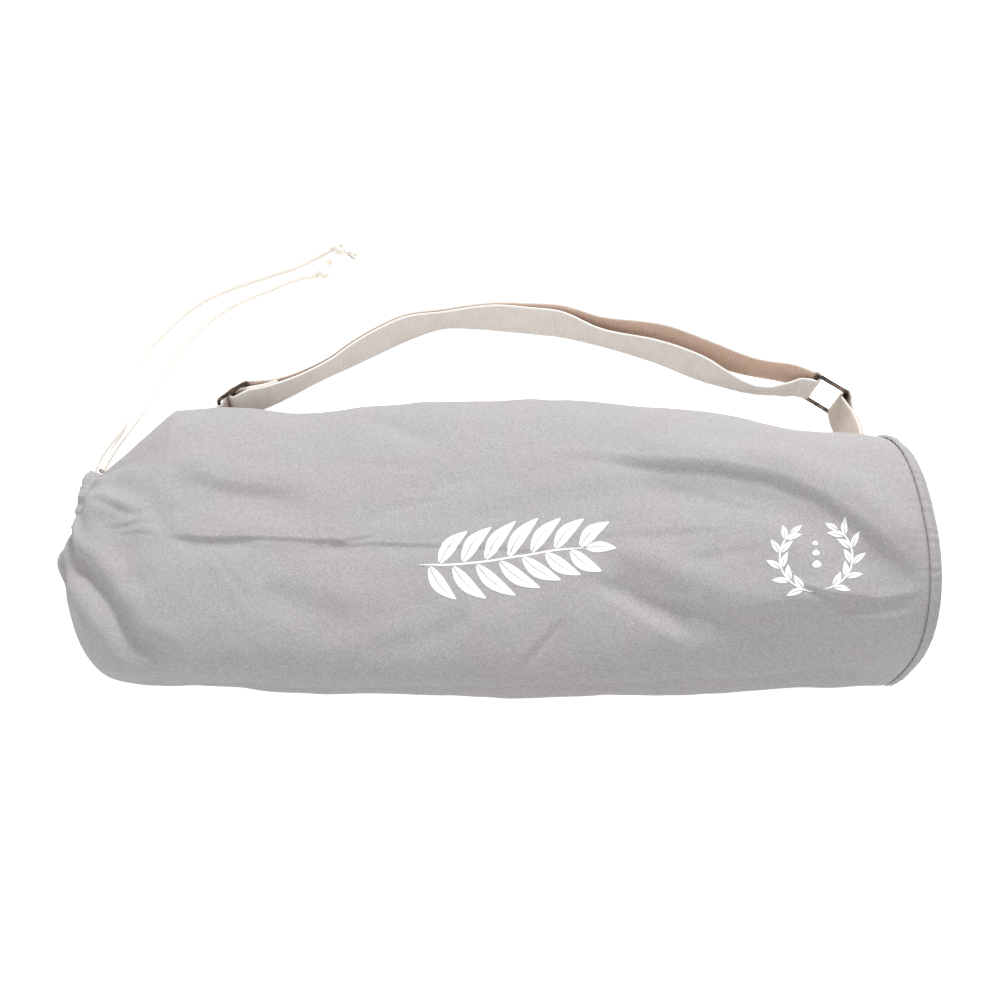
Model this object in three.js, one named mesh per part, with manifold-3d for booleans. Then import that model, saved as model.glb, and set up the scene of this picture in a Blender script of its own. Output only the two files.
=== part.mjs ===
// Yoga mat bag in grey cotton canvas, empty and lying on its side, with its shoulder strap laid out
// behind it on edge and the two drawstring tails beside the gathered mouth.
// Millimetres. +X runs from the mouth to the round base, +Y to the strap, +Z up from the floor.

import * as THREE from "three";
import { mergeVertices } from "three/addons/utils/BufferGeometryUtils.js";
import Module from "manifold-3d";

const wasm = await Module();
wasm.setup();

// Bag
const bagLength = 640; // from the base seam to the end of the mouth side
const bagHalfWidth = 125;
const bagHeight = 84;
const canvasWall = 1.5;
const baseX = 300; // where the base seam stands
const baseLean = 0.19; // the seam's top stands further out than its foot
const baseTurn = -0.08; // and its near side further out than its far side
const baseRim = 6; // how far the base stands out at the seam
const baseBulge = 9;
const flapReach = 7; // how far the loose cloth stands out past the mouth side

// Gathered mouth
const mouthInset = 12;
const mouthHalfWidth = 30;
const mouthHalfHeight = 26;
const mouthY = 40;
const mouthZ = 42;
const mouthTurn = 0.28; // radians, the mouth looks a little towards the strap
const gatherCount = 12;
const gatherDepth = 2.2;
const channelWidth = 10;
const channelThickness = 5;

// Webbing and metal
const webbingWidth = 38;
const webbingThickness = 2;
const wireRadius = 1.7;
const frameWidth = 32; // ring and slider, along the strap
const frameCorner = 5;
const barPlay = 1.7; // between the webbing's edges and the frame
const ringX = baseX - 25;
const ringY = bagHalfWidth + 33.5;
const ringTurn = -0.53; // radians, seen from above
const ringLean = 0.05; // the top tips towards the bag
const ringRoll = 0.19; // and the ring stands on its lower right corner
const sliderX = baseX - 0.8175 * bagLength;
const sliderY = bagHalfWidth + 24.4;
const sliderTurn = 0.677;
const strapBow = 78; // how far the strap swings out behind the line from slider to ring
const strapSplit = 12; // half the widest gap between its two layers
const foldedEnd = 36; // the sewn-back end at the slider
const anchorLength = 23; // sewn flat on the bag's far side near the slider
const anchorHeight = 24;
const tabHeight = 52; // middle of the tab where it is sewn in
const tabLean = 0.5; // its top stands further out than its foot, as the seam does
const tabOut = 3; // from the cloth's widest level to the middle of the tab
const tabDrift = 1.5; // how far along the bag from the ring's bar the tab is sewn into the cloth

// Cords
const cordRadius = 2.75;
const knotRadius = 7;
const tipLength = 12;

const frameHeight = webbingWidth + 2 * barPlay + 4 * wireRadius;

// Clearances
const gap = 0.3; // between pieces that touch
const layerGap = 0.4; // between layers of webbing

// Cross-sections from the base to the mouth side. along is a share of bagLength, centre and halfWidth
// are shares of bagHalfWidth, and height is a share of bagHeight.
const sections = [
  { along: 0.0, centre: -0.14, halfWidth: 0.765, height: 1.79 },
  { along: 0.08, centre: -0.103, halfWidth: 0.81, height: 1.67 },
  { along: 0.16, centre: -0.04, halfWidth: 0.89, height: 1.5 },
  { along: 0.24, centre: 0.02, halfWidth: 0.96, height: 1.31 },
  { along: 0.32, centre: 0.06, halfWidth: 1.0, height: 1.15 },
  { along: 0.4, centre: 0.09, halfWidth: 1.03, height: 1.05 },
  { along: 0.48, centre: 0.09, halfWidth: 1.03, height: 1.0 },
  { along: 0.56, centre: 0.1, halfWidth: 1.02, height: 0.98 },
  { along: 0.64, centre: 0.085, halfWidth: 1.0, height: 0.98 },
  { along: 0.72, centre: 0.06, halfWidth: 0.965, height: 0.98 },
  { along: 0.8, centre: 0.095, halfWidth: 0.97, height: 1.0 },
  { along: 0.88, centre: 0.095, halfWidth: 0.95, height: 1.02 },
];
const waistShare = 0.45; // height of the widest level in a section
const topRoundness = 2.3; // superellipse exponents
const footRoundness = 3.0;
const footSquash = 1.06; // how far the cloth would sink without the floor
const capStart = 0.885; // where the cloth begins to draw in to the mouth

// Folds on the upper side. Each path runs over the cloth as [along, across] shares of bagLength and
// bagHalfWidth. left, middle and right are heights on the left of the path (seen from above, walking
// along it), on the path and on its right; width is the spread of each.
const folds = [
  { name: "long crease", width: 8, left: -2.5, middle: 1.5, right: 2.5,
    path: [[0.47, -0.11], [0.56, -0.05], [0.68, -0.06], [0.78, -0.05], [0.84, -0.07], [0.89, -0.03]] },
  { name: "mouth fold", width: 12, left: 1, middle: -4, right: 2,
    path: [[0.97, 0.44], [0.91, 0.24], [0.86, 0.04]] },
  { name: "shoulder band", width: 13, left: 2.5, middle: 0, right: -2,
    path: [[0.88, 0.45], [0.83, 0.35], [0.77, 0.29], [0.69, 0.27]] },
  { name: "flap valley", width: 11, left: 3, middle: -9, right: 2,
    path: [[1.01, -0.08], [0.97, -0.28], [0.94, -0.48], [0.91, -0.71], [0.84, -0.86]] },
  { name: "mouth valley", width: 15, left: 0, middle: -4, right: 0,
    path: [[0.96, 0.2], [0.93, -0.13], [0.9, -0.46]] },
  { name: "base arc", width: 17, left: -5, middle: 0, right: 6,
    path: [[-0.02, -0.6], [0.02, -0.35], [0.08, -0.05], [0.14, 0.16], [0.25, 0.32], [0.34, 0.49]] },
  { name: "low fold", width: 13, left: -4, middle: 0, right: 3,
    path: [[0.01, -0.69], [0.1, -0.7], [0.19, -0.68], [0.23, -0.55], [0.3, -0.36], [0.38, -0.17]] },
  { name: "slant ridge", width: 11, left: 0, middle: 2, right: -3,
    path: [[0.25, -0.81], [0.3, -0.64], [0.36, -0.44]] },
  { name: "far dent", width: 15, left: 0, middle: -3, right: 0,
    path: [[0.65, 0.92], [0.6, 0.8], [0.54, 0.64]] },
  { name: "near dent", width: 16, left: 0, middle: -3, right: 1,
    path: [[0.64, -0.62], [0.7, -0.5], [0.76, -0.4]] },
];

// The strap's run from the slider to the ring. span is a share of the way, bow of strapBow and split
// of strapSplit. lean, in radians, tips the tops towards the bag, the back layer's less past the middle.
const strapRun = [
  { span: 0.000, bow: 0.000, split: 0.30, lean: 0.00 },
  { span: 0.034, bow: 0.055, split: 0.23, lean: 0.08 },
  { span: 0.070, bow: 0.160, split: 0.17, lean: 0.16 },
  { span: 0.106, bow: 0.295, split: 0.14, lean: 0.20 },
  { span: 0.140, bow: 0.418, split: 0.13, lean: 0.18 },
  { span: 0.172, bow: 0.547, split: 0.13, lean: 0.06 },
  { span: 0.213, bow: 0.705, split: 0.13, lean: -0.02 },
  { span: 0.275, bow: 0.905, split: 0.13, lean: -0.02 },
  { span: 0.343, bow: 1.014, split: 0.13, lean: 0.18 },
  { span: 0.400, bow: 1.040, split: 0.13, lean: 0.05 },
  { span: 0.444, bow: 1.037, split: 0.14, lean: -0.06 },
  { span: 0.500, bow: 1.007, split: 0.21, lean: -0.07 },
  { span: 0.563, bow: 0.960, split: 0.30, lean: -0.05 },
  { span: 0.637, bow: 0.804, split: 0.47, lean: 0.17 },
  { span: 0.738, bow: 0.645, split: 0.71, lean: 0.02 },
  { span: 0.817, bow: 0.422, split: 0.73, lean: -0.03 },
  { span: 0.870, bow: 0.264, split: 0.84, lean: 0.22 },
  { span: 0.921, bow: 0.132, split: 0.90, lean: 0.40 },
  { span: 0.963, bow: 0.068, split: 0.66, lean: 0.32 },
  { span: 0.985, bow: 0.040, split: 0.40, lean: 0.15 },
  { span: 1.000, bow: 0.000, split: 0.26, lean: 0.00 },
];

// The cords' routes from the mouth to their knots, laid by hand
const farCordRoute = [
  [-331, 69.1, 50], [-326, 90, 46], [-318, 112, 38], [-314, 130, 28], [-316, 149, 18],
  [-318, 168, 10], [-316, 188, 5], [-312, 206, 3], [-303, 223, 3], [-292, 238, 3],
  [-281, 252, 3], [-265, 267, 3], [-245, 279, 3], [-225, 288, 3], [-205, 296, 3],
  [-185, 304, 3], [-169, 313, 3], [-151, 325, 3],
];
const nearCordRoute = [
  [-325, 73.6, 45], [-320, 96, 37], [-313, 119, 27], [-307, 138, 19], [-302, 156, 12],
  [-296, 177, 6], [-288, 200, 3], [-278, 219, 3], [-266, 235, 3], [-255, 248, 3],
  [-240, 261, 3], [-222, 272, 3], [-204, 281, 3], [-189, 289, 3], [-175, 294, 3],
  [-164, 296, 3],
];
const farKnot = { centre: [-143.5, 323, 7.3], tip: [0.9, -0.43] };
const nearKnot = { centre: [-156, 297, 7.3], tip: [0.2, 0.98] };

// Mesh resolution
const aroundSteps = 48;
const tubeSteps = 24;
const capSteps = 9;
const baseRings = 5;
const fineSteps = 60; // points that a line is measured with before it is spaced evenly
const loopSides = 10;

const canvas = new THREE.MeshStandardMaterial({ color: 0xbcb8bb, roughness: 0.95, metalness: 0 });
const webbing = new THREE.MeshStandardMaterial({ color: 0xddd2c6, roughness: 0.95, metalness: 0 });
const cordCotton = new THREE.MeshStandardMaterial({ color: 0xf3ece0, roughness: 0.95, metalness: 0 });
const gunmetal = new THREE.MeshStandardMaterial({ color: 0x4a403c, roughness: 0.35, metalness: 1 });

// Small maths

const vec = (x, y, z) => new THREE.Vector3(x, y, z);
const mix = THREE.MathUtils.lerp;
const smooth = THREE.MathUtils.smoothstep;
const bell = (x) => Math.exp(-x * x);

// A column of a table at a place between its rows, on a smooth curve through them
function readTable(table, key, column, at) {
  const last = table.length - 1;
  const place = THREE.MathUtils.clamp(at, table[0][key], table[last][key]);
  let i = 0;
  while (i < last - 1 && place > table[i + 1][key]) i += 1;
  const slope = (j) => {
    const a = table[Math.max(j - 1, 0)];
    const b = table[Math.min(j + 1, last)];
    return (b[column] - a[column]) / (b[key] - a[key]);
  };
  const step = table[i + 1][key] - table[i][key];
  const t = (place - table[i][key]) / step;
  const from = (1 + 2 * t) * (1 - t) ** 2 * table[i][column];
  const to = t * t * (3 - 2 * t) * table[i + 1][column];
  return from + to + step * t * (1 - t) * ((1 - t) * slope(i) - t * slope(i + 1));
}

// A mesh from rings of points that all have the same number of points. The first and last rings are
// closed with a fan about their middle, or joined to each other when the rings run in a loop.
function meshFromRings(name, rings, material, { looped = false } = {}) {
  const count = rings[0].length;
  const points = rings.flat();
  const faces = [];
  const spans = looped ? rings.length : rings.length - 1;
  for (let i = 0; i < spans; i += 1) {
    const a = i * count;
    const b = ((i + 1) % rings.length) * count;
    for (let k = 0; k < count; k += 1) {
      const n = (k + 1) % count;
      faces.push(a + k, b + k, a + n, a + n, b + k, b + n);
    }
  }
  if (!looped) {
    const end = (rings.length - 1) * count;
    const first = points.push(middleOf(rings[0])) - 1;
    const last = points.push(middleOf(rings[rings.length - 1])) - 1;
    for (let k = 0; k < count; k += 1) {
      const n = (k + 1) % count;
      faces.push(first, k, n);
      faces.push(last, end + n, end + k);
    }
  }
  const geometry = new THREE.BufferGeometry();
  geometry.setAttribute("position", new THREE.Float32BufferAttribute(points.flatMap((p) => p.toArray()), 3));
  geometry.setIndex(signedVolume(points, faces) < 0 ? faces.reverse() : faces);
  return named(name, geometry, material);
}

function signedVolume(points, faces) {
  let total = 0;
  for (let i = 0; i < faces.length; i += 3) {
    const [a, b, c] = [points[faces[i]], points[faces[i + 1]], points[faces[i + 2]]];
    total += a.dot(b.clone().cross(c)) / 6;
  }
  return total;
}

function middleOf(points) {
  const sum = points.reduce((total, p) => total.add(p), vec(0, 0, 0));
  return sum.divideScalar(points.length);
}

function named(name, geometry, material) {
  geometry.computeVertexNormals();
  const mesh = new THREE.Mesh(geometry, material);
  mesh.name = name;
  return mesh;
}

// Geometry with only merged positions, as a manifold solid
function solidOf(geometry) {
  const bare = geometry.clone();
  bare.deleteAttribute("normal");
  bare.deleteAttribute("uv");
  const merged = mergeVertices(bare, 1e-4);
  return new wasm.Manifold(new wasm.Mesh({
    numProp: 3,
    vertProperties: new Float32Array(merged.getAttribute("position").array),
    triVerts: new Uint32Array(merged.getIndex().array),
  }));
}

function geometryOf(solid) {
  const { vertProperties, triVerts } = solid.getMesh();
  const geometry = new THREE.BufferGeometry();
  geometry.setAttribute("position", new THREE.Float32BufferAttribute(vertProperties, 3));
  geometry.setIndex(Array.from(triVerts));
  return geometry;
}

// The bag's cloth

// One cross-section, spaced evenly round it from the far side over the top
function sectionAt(along) {
  const centre = readTable(sections, "along", "centre", along) * bagHalfWidth;
  const halfWidth = readTable(sections, "along", "halfWidth", along) * bagHalfWidth;
  const height = readTable(sections, "along", "height", along) * bagHeight;
  const waist = height * waistShare;
  const fine = [];
  for (let i = 0; i <= 6 * fineSteps; i += 1) {
    const angle = (i / (6 * fineSteps)) * 2 * Math.PI;
    const [c, s] = [Math.cos(angle), Math.sin(angle)];
    const power = 2 / (s >= 0 ? topRoundness : footRoundness);
    const rise = s >= 0 ? height - waist : -waist * footSquash;
    const y = centre + halfWidth * Math.sign(c) * Math.abs(c) ** power;
    fine.push(vec(0, y, Math.max(0, waist + rise * Math.abs(s) ** power)));
  }
  return spacedEvenly(fine, aroundSteps).slice(0, aroundSteps);
}

// count + 1 points at even distances along a line of finer ones
function spacedEvenly(line, count) {
  const lengths = [0];
  for (let i = 1; i < line.length; i += 1) lengths.push(lengths[i - 1] + line[i].distanceTo(line[i - 1]));
  const total = lengths[lengths.length - 1];
  const points = [];
  let i = 1;
  for (let k = 0; k <= count; k += 1) {
    const target = (total * k) / count;
    while (i < line.length - 1 && lengths[i] < target) i += 1;
    const t = (target - lengths[i - 1]) / (lengths[i] - lengths[i - 1]);
    points.push(line[i - 1].clone().lerp(line[i], Math.min(t, 1)));
  }
  return points;
}

// How far the base end's lean and turn move a point of the cloth along X
function baseShift(y, z, along) {
  const waist = sections[0].height * bagHeight * 0.5;
  const centre = sections[0].centre * bagHalfWidth;
  const hold = 1 - smooth(along, 0, 0.35);
  return hold * (baseLean * (z - waist) + baseTurn * (y - centre));
}

// The mouth: its middle, the way across it and the way out of it
const mouthCentre = vec(baseX - bagLength + mouthInset, mouthY, mouthZ);
const mouthAcross = vec(Math.sin(mouthTurn), Math.cos(mouthTurn), 0);
const mouthOut = vec(-Math.cos(mouthTurn), Math.sin(mouthTurn), 0);

// A point round the mouth, at a distance outside the rim and a distance along the way out
function mouthPoint(turn, outside, out) {
  const angle = turn * 2 * Math.PI;
  const swell = outside + gatherDepth * Math.cos(gatherCount * angle);
  return mouthCentre.clone()
    .addScaledVector(mouthAcross, (mouthHalfWidth + swell) * Math.cos(angle))
    .addScaledVector(vec(0, 0, 1), (mouthHalfHeight + swell) * Math.sin(angle))
    .addScaledVector(mouthOut, out);
}

// The smooth cloth before folding: rings from the base seam to the mouth's rim
function smoothRings() {
  const rings = [];
  for (let i = 0; i <= tubeSteps; i += 1) {
    const along = (capStart * i) / tubeSteps;
    rings.push(sectionAt(along).map(({ y, z }) => {
      return vec(baseX - along * bagLength + baseShift(y, z, along), y, z);
    }));
  }
  const lines = rings[tubeSteps].map((from, k) => {
    const fine = Array.from({ length: fineSteps + 1 }, (_, j) => capPoint(from, k / aroundSteps, j / fineSteps));
    return spacedEvenly(fine, capSteps);
  });
  for (let j = 1; j <= capSteps; j += 1) rings.push(lines.map((line) => line[j]));
  return rings;
}

// The cloth draws in to the mouth straight on the far side and in a full, boxy corner on the near
// side, where it stands out past the mouth as a loose flap.
function capPoint(from, turn, share) {
  const nearness = 0.5 - 0.5 * Math.cos(turn * 2 * Math.PI);
  const boxiness = mix(1.05, 3.3, smooth(nearness, 0.15, 0.9));
  const forward = Math.sin((share * Math.PI) / 2) ** (2 / boxiness);
  const inward = 1 - Math.cos((share * Math.PI) / 2) ** (2 / boxiness);
  const rim = mouthPoint(turn, 0, 0);
  const flap = flapReach * smooth(nearness, 0.4, 1) * Math.sin(Math.PI * inward ** 2.4);
  return vec(
    mix(from.x, rim.x, forward) - flap,
    mix(from.y, rim.y, inward),
    Math.max(0, mix(from.z, rim.z, inward)),
  );
}

// Outward normals of a set of rings
function ringNormals(rings) {
  const count = rings[0].length;
  return rings.map((ring, i) => ring.map((point, k) => {
    const before = rings[Math.max(i - 1, 0)][k];
    const after = rings[Math.min(i + 1, rings.length - 1)][k];
    const around = ring[(k + 1) % count].clone().sub(ring[(k + count - 1) % count]);
    return after.clone().sub(before).cross(around).normalize();
  }));
}

// The nearest place on a fold's path to a place on the cloth: its distance, its side, and how far
// along the path it is
function nearestOnPath(path, x, y) {
  let best = { distance: Infinity };
  for (let i = 0; i < path.length - 1; i += 1) {
    const [ax, ay] = [baseX - path[i][0] * bagLength, path[i][1] * bagHalfWidth];
    const [bx, by] = [baseX - path[i + 1][0] * bagLength, path[i + 1][1] * bagHalfWidth];
    const [dx, dy] = [bx - ax, by - ay];
    const t = THREE.MathUtils.clamp(((x - ax) * dx + (y - ay) * dy) / (dx * dx + dy * dy), 0, 1);
    const [ox, oy] = [x - ax - t * dx, y - ay - t * dy];
    const distance = Math.hypot(ox, oy);
    if (distance < best.distance) {
      best = { distance, side: Math.sign(dx * oy - dy * ox), share: (i + t) / (path.length - 1) };
    }
  }
  return best;
}

function foldHeight(x, y) {
  let height = 0;
  for (const { path, width, left, middle, right } of folds) {
    const near = nearestOnPath(path, x, y);
    const offset = (near.side * near.distance) / width;
    const fade = smooth(near.share, 0, 0.2) * (1 - smooth(near.share, 0.8, 1));
    height += fade * (left * bell(offset - 1) + middle * bell(offset) + right * bell(offset + 1));
  }
  return height;
}

function foldedRings() {
  const rings = smoothRings();
  const normals = ringNormals(rings);
  return rings.map((ring, i) => {
    const last = rings.length - 1;
    const drawn = smooth(i / last, tubeSteps / last, 1);
    return ring.map((point, k) => {
      const normal = normals[i][k];
      const facingUp = smooth(normal.z, -0.1, 0.4);
      const gather = gatherDepth * Math.cos((gatherCount * 2 * Math.PI * k) / aroundSteps);
      const offset = facingUp * foldHeight(point.x, point.y) * (i < last ? 1 : 0);
      const ripple = i < last ? drawn ** 2 * gather : 0;
      const moved = point.clone().addScaledVector(normal, offset + ripple);
      moved.z = Math.max(0, moved.z);
      return moved;
    });
  });
}

const clothRings = foldedRings();

// The inner face of the cloth, kept inside both end faces
function innerRings() {
  const normals = ringNormals(clothRings);
  return clothRings.map((ring, i) => ring.map((point, k) => {
    const inner = point.clone().addScaledVector(normals[i][k], -canvasWall);
    if (i === 0) inner.x = Math.min(inner.x, baseX + baseShift(inner.y, inner.z, 0));
    if (i === clothRings.length - 1) {
      const past = inner.clone().sub(mouthCentre).dot(mouthOut);
      inner.addScaledVector(mouthOut, -Math.max(0, past));
    }
    return inner;
  }));
}

function makeBagBody() {
  const rings = [...clothRings, ...innerRings().reverse()];
  return meshFromRings("bag_body", rings, canvas, { looped: true });
}

// The round base: a plate that bulges out from the seam, flattened where it rests
function makeBasePanel() {
  const rim = clothRings[0];
  const centre = middleOf(rim);
  const plate = (lift, rise) => {
    const rings = [];
    for (let j = 0; j < baseRings; j += 1) {
      const inward = (j / baseRings) ** 1.4;
      const bulge = rise * Math.sqrt(1 - (1 - inward) ** 4);
      rings.push(rim.map((point) => {
        const place = point.clone().lerp(centre, inward);
        place.x = baseX + baseShift(place.y, place.z, 0) + lift + bulge;
        return place;
      }));
    }
    return rings;
  };
  const inner = plate(gap, baseBulge + baseRim - canvasWall);
  const rings = [...inner.reverse(), ...plate(gap + baseRim, baseBulge)];
  return meshFromRings("base_panel", rings, canvas);
}

// The hem that holds the cord: a gathered ring round the mouth
function makeDrawstringChannel() {
  const profile = [[-0.1, 0], [0, 0.45], [-0.2, 0.9], [-0.5, 1], [-0.85, 0.9], [-1, 0]];
  const rings = [];
  const steps = aroundSteps * 1.25;
  for (let k = 0; k < steps; k += 1) {
    rings.push(profile.map(([thick, out]) => {
      return mouthPoint(k / steps, thick * channelThickness, gap + out * channelWidth);
    }));
  }
  return meshFromRings("drawstring_channel", rings, canvas, { looped: true });
}

// Metal frames, standing on edge

const ringPose = new THREE.Euler(ringLean, ringRoll, ringTurn, "ZXY");
const ringCentre = vec(
  ringX,
  ringY,
  frameCorner + (frameHeight / 2 - frameCorner) * Math.cos(ringRoll)
    + (frameWidth / 2 - frameCorner) * Math.sin(ringRoll),
);

// A round wire bent into a frame with rounded corners, in its own XZ plane with its foot at z = 0
function frameWire() {
  const halfWidth = frameWidth / 2 - wireRadius;
  const halfHeight = frameHeight / 2 - wireRadius;
  const bend = frameCorner - wireRadius;
  const cornerSteps = 4;
  const rings = [];
  for (let q = 0; q < 4; q += 1) {
    const [sx, sz] = [[1, 1], [-1, 1], [-1, -1], [1, -1]][q];
    for (let i = 0; i <= cornerSteps; i += 1) {
      const angle = ((q + i / cornerSteps) * Math.PI) / 2;
      const outward = vec(Math.cos(angle), 0, Math.sin(angle));
      const middle = vec(sx * (halfWidth - bend), 0, frameHeight / 2 + sz * (halfHeight - bend));
      middle.addScaledVector(outward, bend);
      rings.push(Array.from({ length: loopSides }, (_, k) => {
        const turn = (k / loopSides) * 2 * Math.PI;
        return middle.clone()
          .addScaledVector(outward, wireRadius * Math.cos(turn))
          .addScaledVector(vec(0, 1, 0), wireRadius * Math.sin(turn));
      }));
    }
  }
  return meshFromRings("", rings, gunmetal, { looped: true }).geometry;
}

function makeRing() {
  const ring = named("strap_ring", frameWire().translate(0, 0, -frameHeight / 2), gunmetal);
  ring.rotation.copy(ringPose);
  ring.position.copy(ringCentre);
  return ring;
}

function makeSlider() {
  const bar = new THREE.CylinderGeometry(wireRadius, wireRadius, frameHeight - 2 * wireRadius, loopSides);
  bar.rotateX(Math.PI / 2);
  bar.translate(0, 0, frameHeight / 2);
  const slider = named("strap_slider", geometryOf(solidOf(frameWire()).add(solidOf(bar))), gunmetal);
  slider.rotation.z = sliderTurn;
  slider.position.set(sliderX, sliderY, 0);
  return slider;
}

// Webbing

// A flat band through stations { at, up }, where up is the way its width runs
function ribbon(name, stations, material) {
  const last = stations.length - 1;
  const rings = stations.map(({ at, up }, i) => {
    const before = at.clone().sub(stations[Math.max(i - 1, 0)].at).normalize();
    const after = stations[Math.min(i + 1, last)].at.clone().sub(at).normalize();
    const forward = before.add(after);
    const mitre = i > 0 && i < last ? 2 / Math.max(forward.length(), 1.4) : 1;
    forward.normalize();
    const face = forward.clone().cross(up).normalize();
    const wide = face.clone().cross(forward).multiplyScalar(-webbingWidth / 2);
    const thick = face.multiplyScalar((mitre * webbingThickness) / 2);
    return [[1, 1], [1, -1], [-1, -1], [-1, 1]].map(([a, b]) => {
      return at.clone().addScaledVector(wide, a).addScaledVector(thick, b);
    });
  });
  return meshFromRings(name, rings, material);
}

const barOffset = wireRadius + 1.4 * gap + webbingThickness / 2; // middle of webbing that lies on a bar
const ringOffset = barOffset + 0.4; // and on the ring, whose bars are tipped
const layerStep = webbingThickness + layerGap; // from one layer of webbing to the next
const barSpread = frameWidth / 2 - wireRadius; // from a frame's middle to its upright bars
const edgeUp = wireRadius * 2 + barPlay + webbingWidth / 2; // middle of webbing held in a frame
const edgeFloor = webbingWidth / 2 + 0.05; // middle of webbing that stands on the floor

// Points on the slider, along it and behind it, and on the ring, along it
const atSlider = (along, behind) => vec(
  sliderX + along * Math.cos(sliderTurn) - behind * Math.sin(sliderTurn),
  sliderY + along * Math.sin(sliderTurn) + behind * Math.cos(sliderTurn),
  edgeUp,
);
const atRing = (along) => vec(along, 0, 0).applyEuler(ringPose).add(ringCentre);
const upright = vec(0, 0, 1);
const ringUp = upright.clone().applyEuler(ringPose);

// Stations round a bar, from one angle to another, seen from above
function roundBar(bar, distance, from, to, steps, up = upright) {
  return Array.from({ length: steps }, (_, i) => {
    const angle = mix(from, to, i / (steps - 1));
    return { at: bar.clone().add(vec(Math.cos(angle), Math.sin(angle), 0).multiplyScalar(distance)), up };
  });
}

// A point moved level to the left of a direction
function besides(point, forward, distance) {
  const left = vec(-forward.y, forward.x, 0).normalize();
  return point.clone().addScaledVector(left, distance);
}

// Middle of the strap's two layers between slider and ring, with its direction
function strapMiddle(span) {
  const start = atSlider(barSpread, -layerStep / 2);
  const chord = atRing(-barSpread).setZ(edgeUp).sub(start);
  const place = (at) => {
    const along = start.clone().addScaledVector(chord, at);
    return besides(along, chord, strapBow * readTable(strapRun, "span", "bow", at));
  };
  const forward = place(Math.min(span + 0.005, 1)).sub(place(Math.max(span - 0.005, 0)));
  return { point: place(span), forward: forward.normalize() };
}

// One layer of the strap, side -1 in front and 1 behind, a layer nearer the middle for each inset
function strapLayer(side, { inset = 0, until = 1, steps = 48 } = {}) {
  return Array.from({ length: steps + 1 }, (_, i) => {
    const span = (i / steps) * until;
    const { point, forward } = strapMiddle(span);
    const open = Math.max(strapSplit * readTable(strapRun, "span", "split", span), layerStep / 2);
    const nearSlider = mix(barOffset + layerStep / 2, open, smooth(span, 0, 0.05));
    const split = mix(nearSlider, ringOffset, smooth(span, 0.975, 1));
    const nearRing = smooth(span, 0.87, 1);
    const height = mix(mix(edgeUp, edgeFloor, smooth(span, 0, 0.12)), atRing(-barSpread).z, nearRing);
    const lean = readTable(strapRun, "span", "lean", span) * (side < 0 ? 1 : 1 - 0.6 * smooth(span, 0.5, 0.7));
    const up = vec(forward.y * Math.sin(lean), -forward.x * Math.sin(lean), Math.cos(lean));
    return {
      at: besides(point, forward, side * (split - inset * layerStep)).setZ(height),
      up: up.lerp(ringUp, smooth(span, 0.93, 0.99)).normalize(),
    };
  });
}

// The far side of the cloth at its widest level, and a step out from it
function farSide(x, out) {
  const line = clothRings.map((ring) => ring[0]);
  const i = line.findIndex((point) => point.x <= x);
  const [a, b] = [line[i - 1], line[i]];
  return besides(a.clone().lerp(b, (a.x - x) / (a.x - b.x)), a.clone().sub(b), out);
}

// Sewn-back end, round the slider's middle bar, along the front, round the ring, along the back,
// behind two bars of the slider and over its third, and flat along the bag to its seam
function makeShoulderStrap() {
  const local = (degrees) => sliderTurn + THREE.MathUtils.degToRad(degrees);
  const middleBar = atSlider(0, 0);
  const ringBar = atRing(-barSpread);
  const span = ringBar.distanceTo(atSlider(barSpread, 0));
  const folded = strapLayer(-1, { inset: 1, until: (foldedEnd - barSpread) / span, steps: 3 });
  const headingIn = strapMiddle(1).forward;
  const ringAngle = Math.atan2(headingIn.y, headingIn.x);
  const wallOut = gap + webbingThickness / 2 + 0.4;
  const anchor = [0, 0.33, 0.67, 1].map((share) => {
    const x = sliderX - barSpread - barOffset - share * anchorLength;
    return { at: farSide(x, wallOut).setZ(mix(edgeUp, anchorHeight, smooth(share, 0, 0.6))), up: upright };
  });
  const stations = [
    ...folded.reverse(),
    ...roundBar(middleBar, barOffset, local(66), local(258), 7),
    ...strapLayer(-1),
    ...roundBar(ringBar, ringOffset, ringAngle - Math.PI * 0.35, ringAngle + Math.PI * 0.35, 5, ringUp),
    ...strapLayer(1).reverse(),
    ...roundBar(middleBar, barOffset + layerStep, local(80), local(127), 4),
    ...roundBar(atSlider(-barSpread, 0), barOffset, local(307), local(262), 4),
    ...anchor,
  ];
  return ribbon("shoulder_strap", stations, webbing);
}

// A doubled piece of webbing from the bag's side seam round the ring's bar and back
function makeStrapTab() {
  const bar = atRing(barSpread);
  const start = farSide(bar.x - tabDrift, tabOut).setZ(tabHeight);
  const middle = [0, 0.2, 0.4, 0.6, 0.78, 0.9].map((share) => ({
    point: start.clone().lerp(bar, share).setZ(mix(tabHeight, bar.z, smooth(share, 0, 1))),
    up: vec(tabLean, 0, 1).normalize().lerp(ringUp, smooth(share, 0, 0.8)).normalize(),
  }));
  const last = middle.length - 1;
  const forwardAt = (i) => middle[Math.min(i + 1, last)].point.clone().sub(middle[Math.max(i - 1, 0)].point);
  const layer = (side) => middle.map(({ point, up }, i) => {
    const offset = mix(layerStep / 2, ringOffset, smooth(i / last, 0.6, 1));
    return { at: besides(point, forwardAt(i), side * offset), up };
  });
  const heading = bar.clone().sub(middle[last].point);
  const angle = Math.atan2(heading.y, heading.x);
  const turn = roundBar(bar, ringOffset, angle - Math.PI * 0.5, angle + Math.PI * 0.5, 7, ringUp);
  return ribbon("strap_tab", [...layer(-1), ...turn, ...layer(1).reverse()], webbing);
}

// Cords

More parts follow.
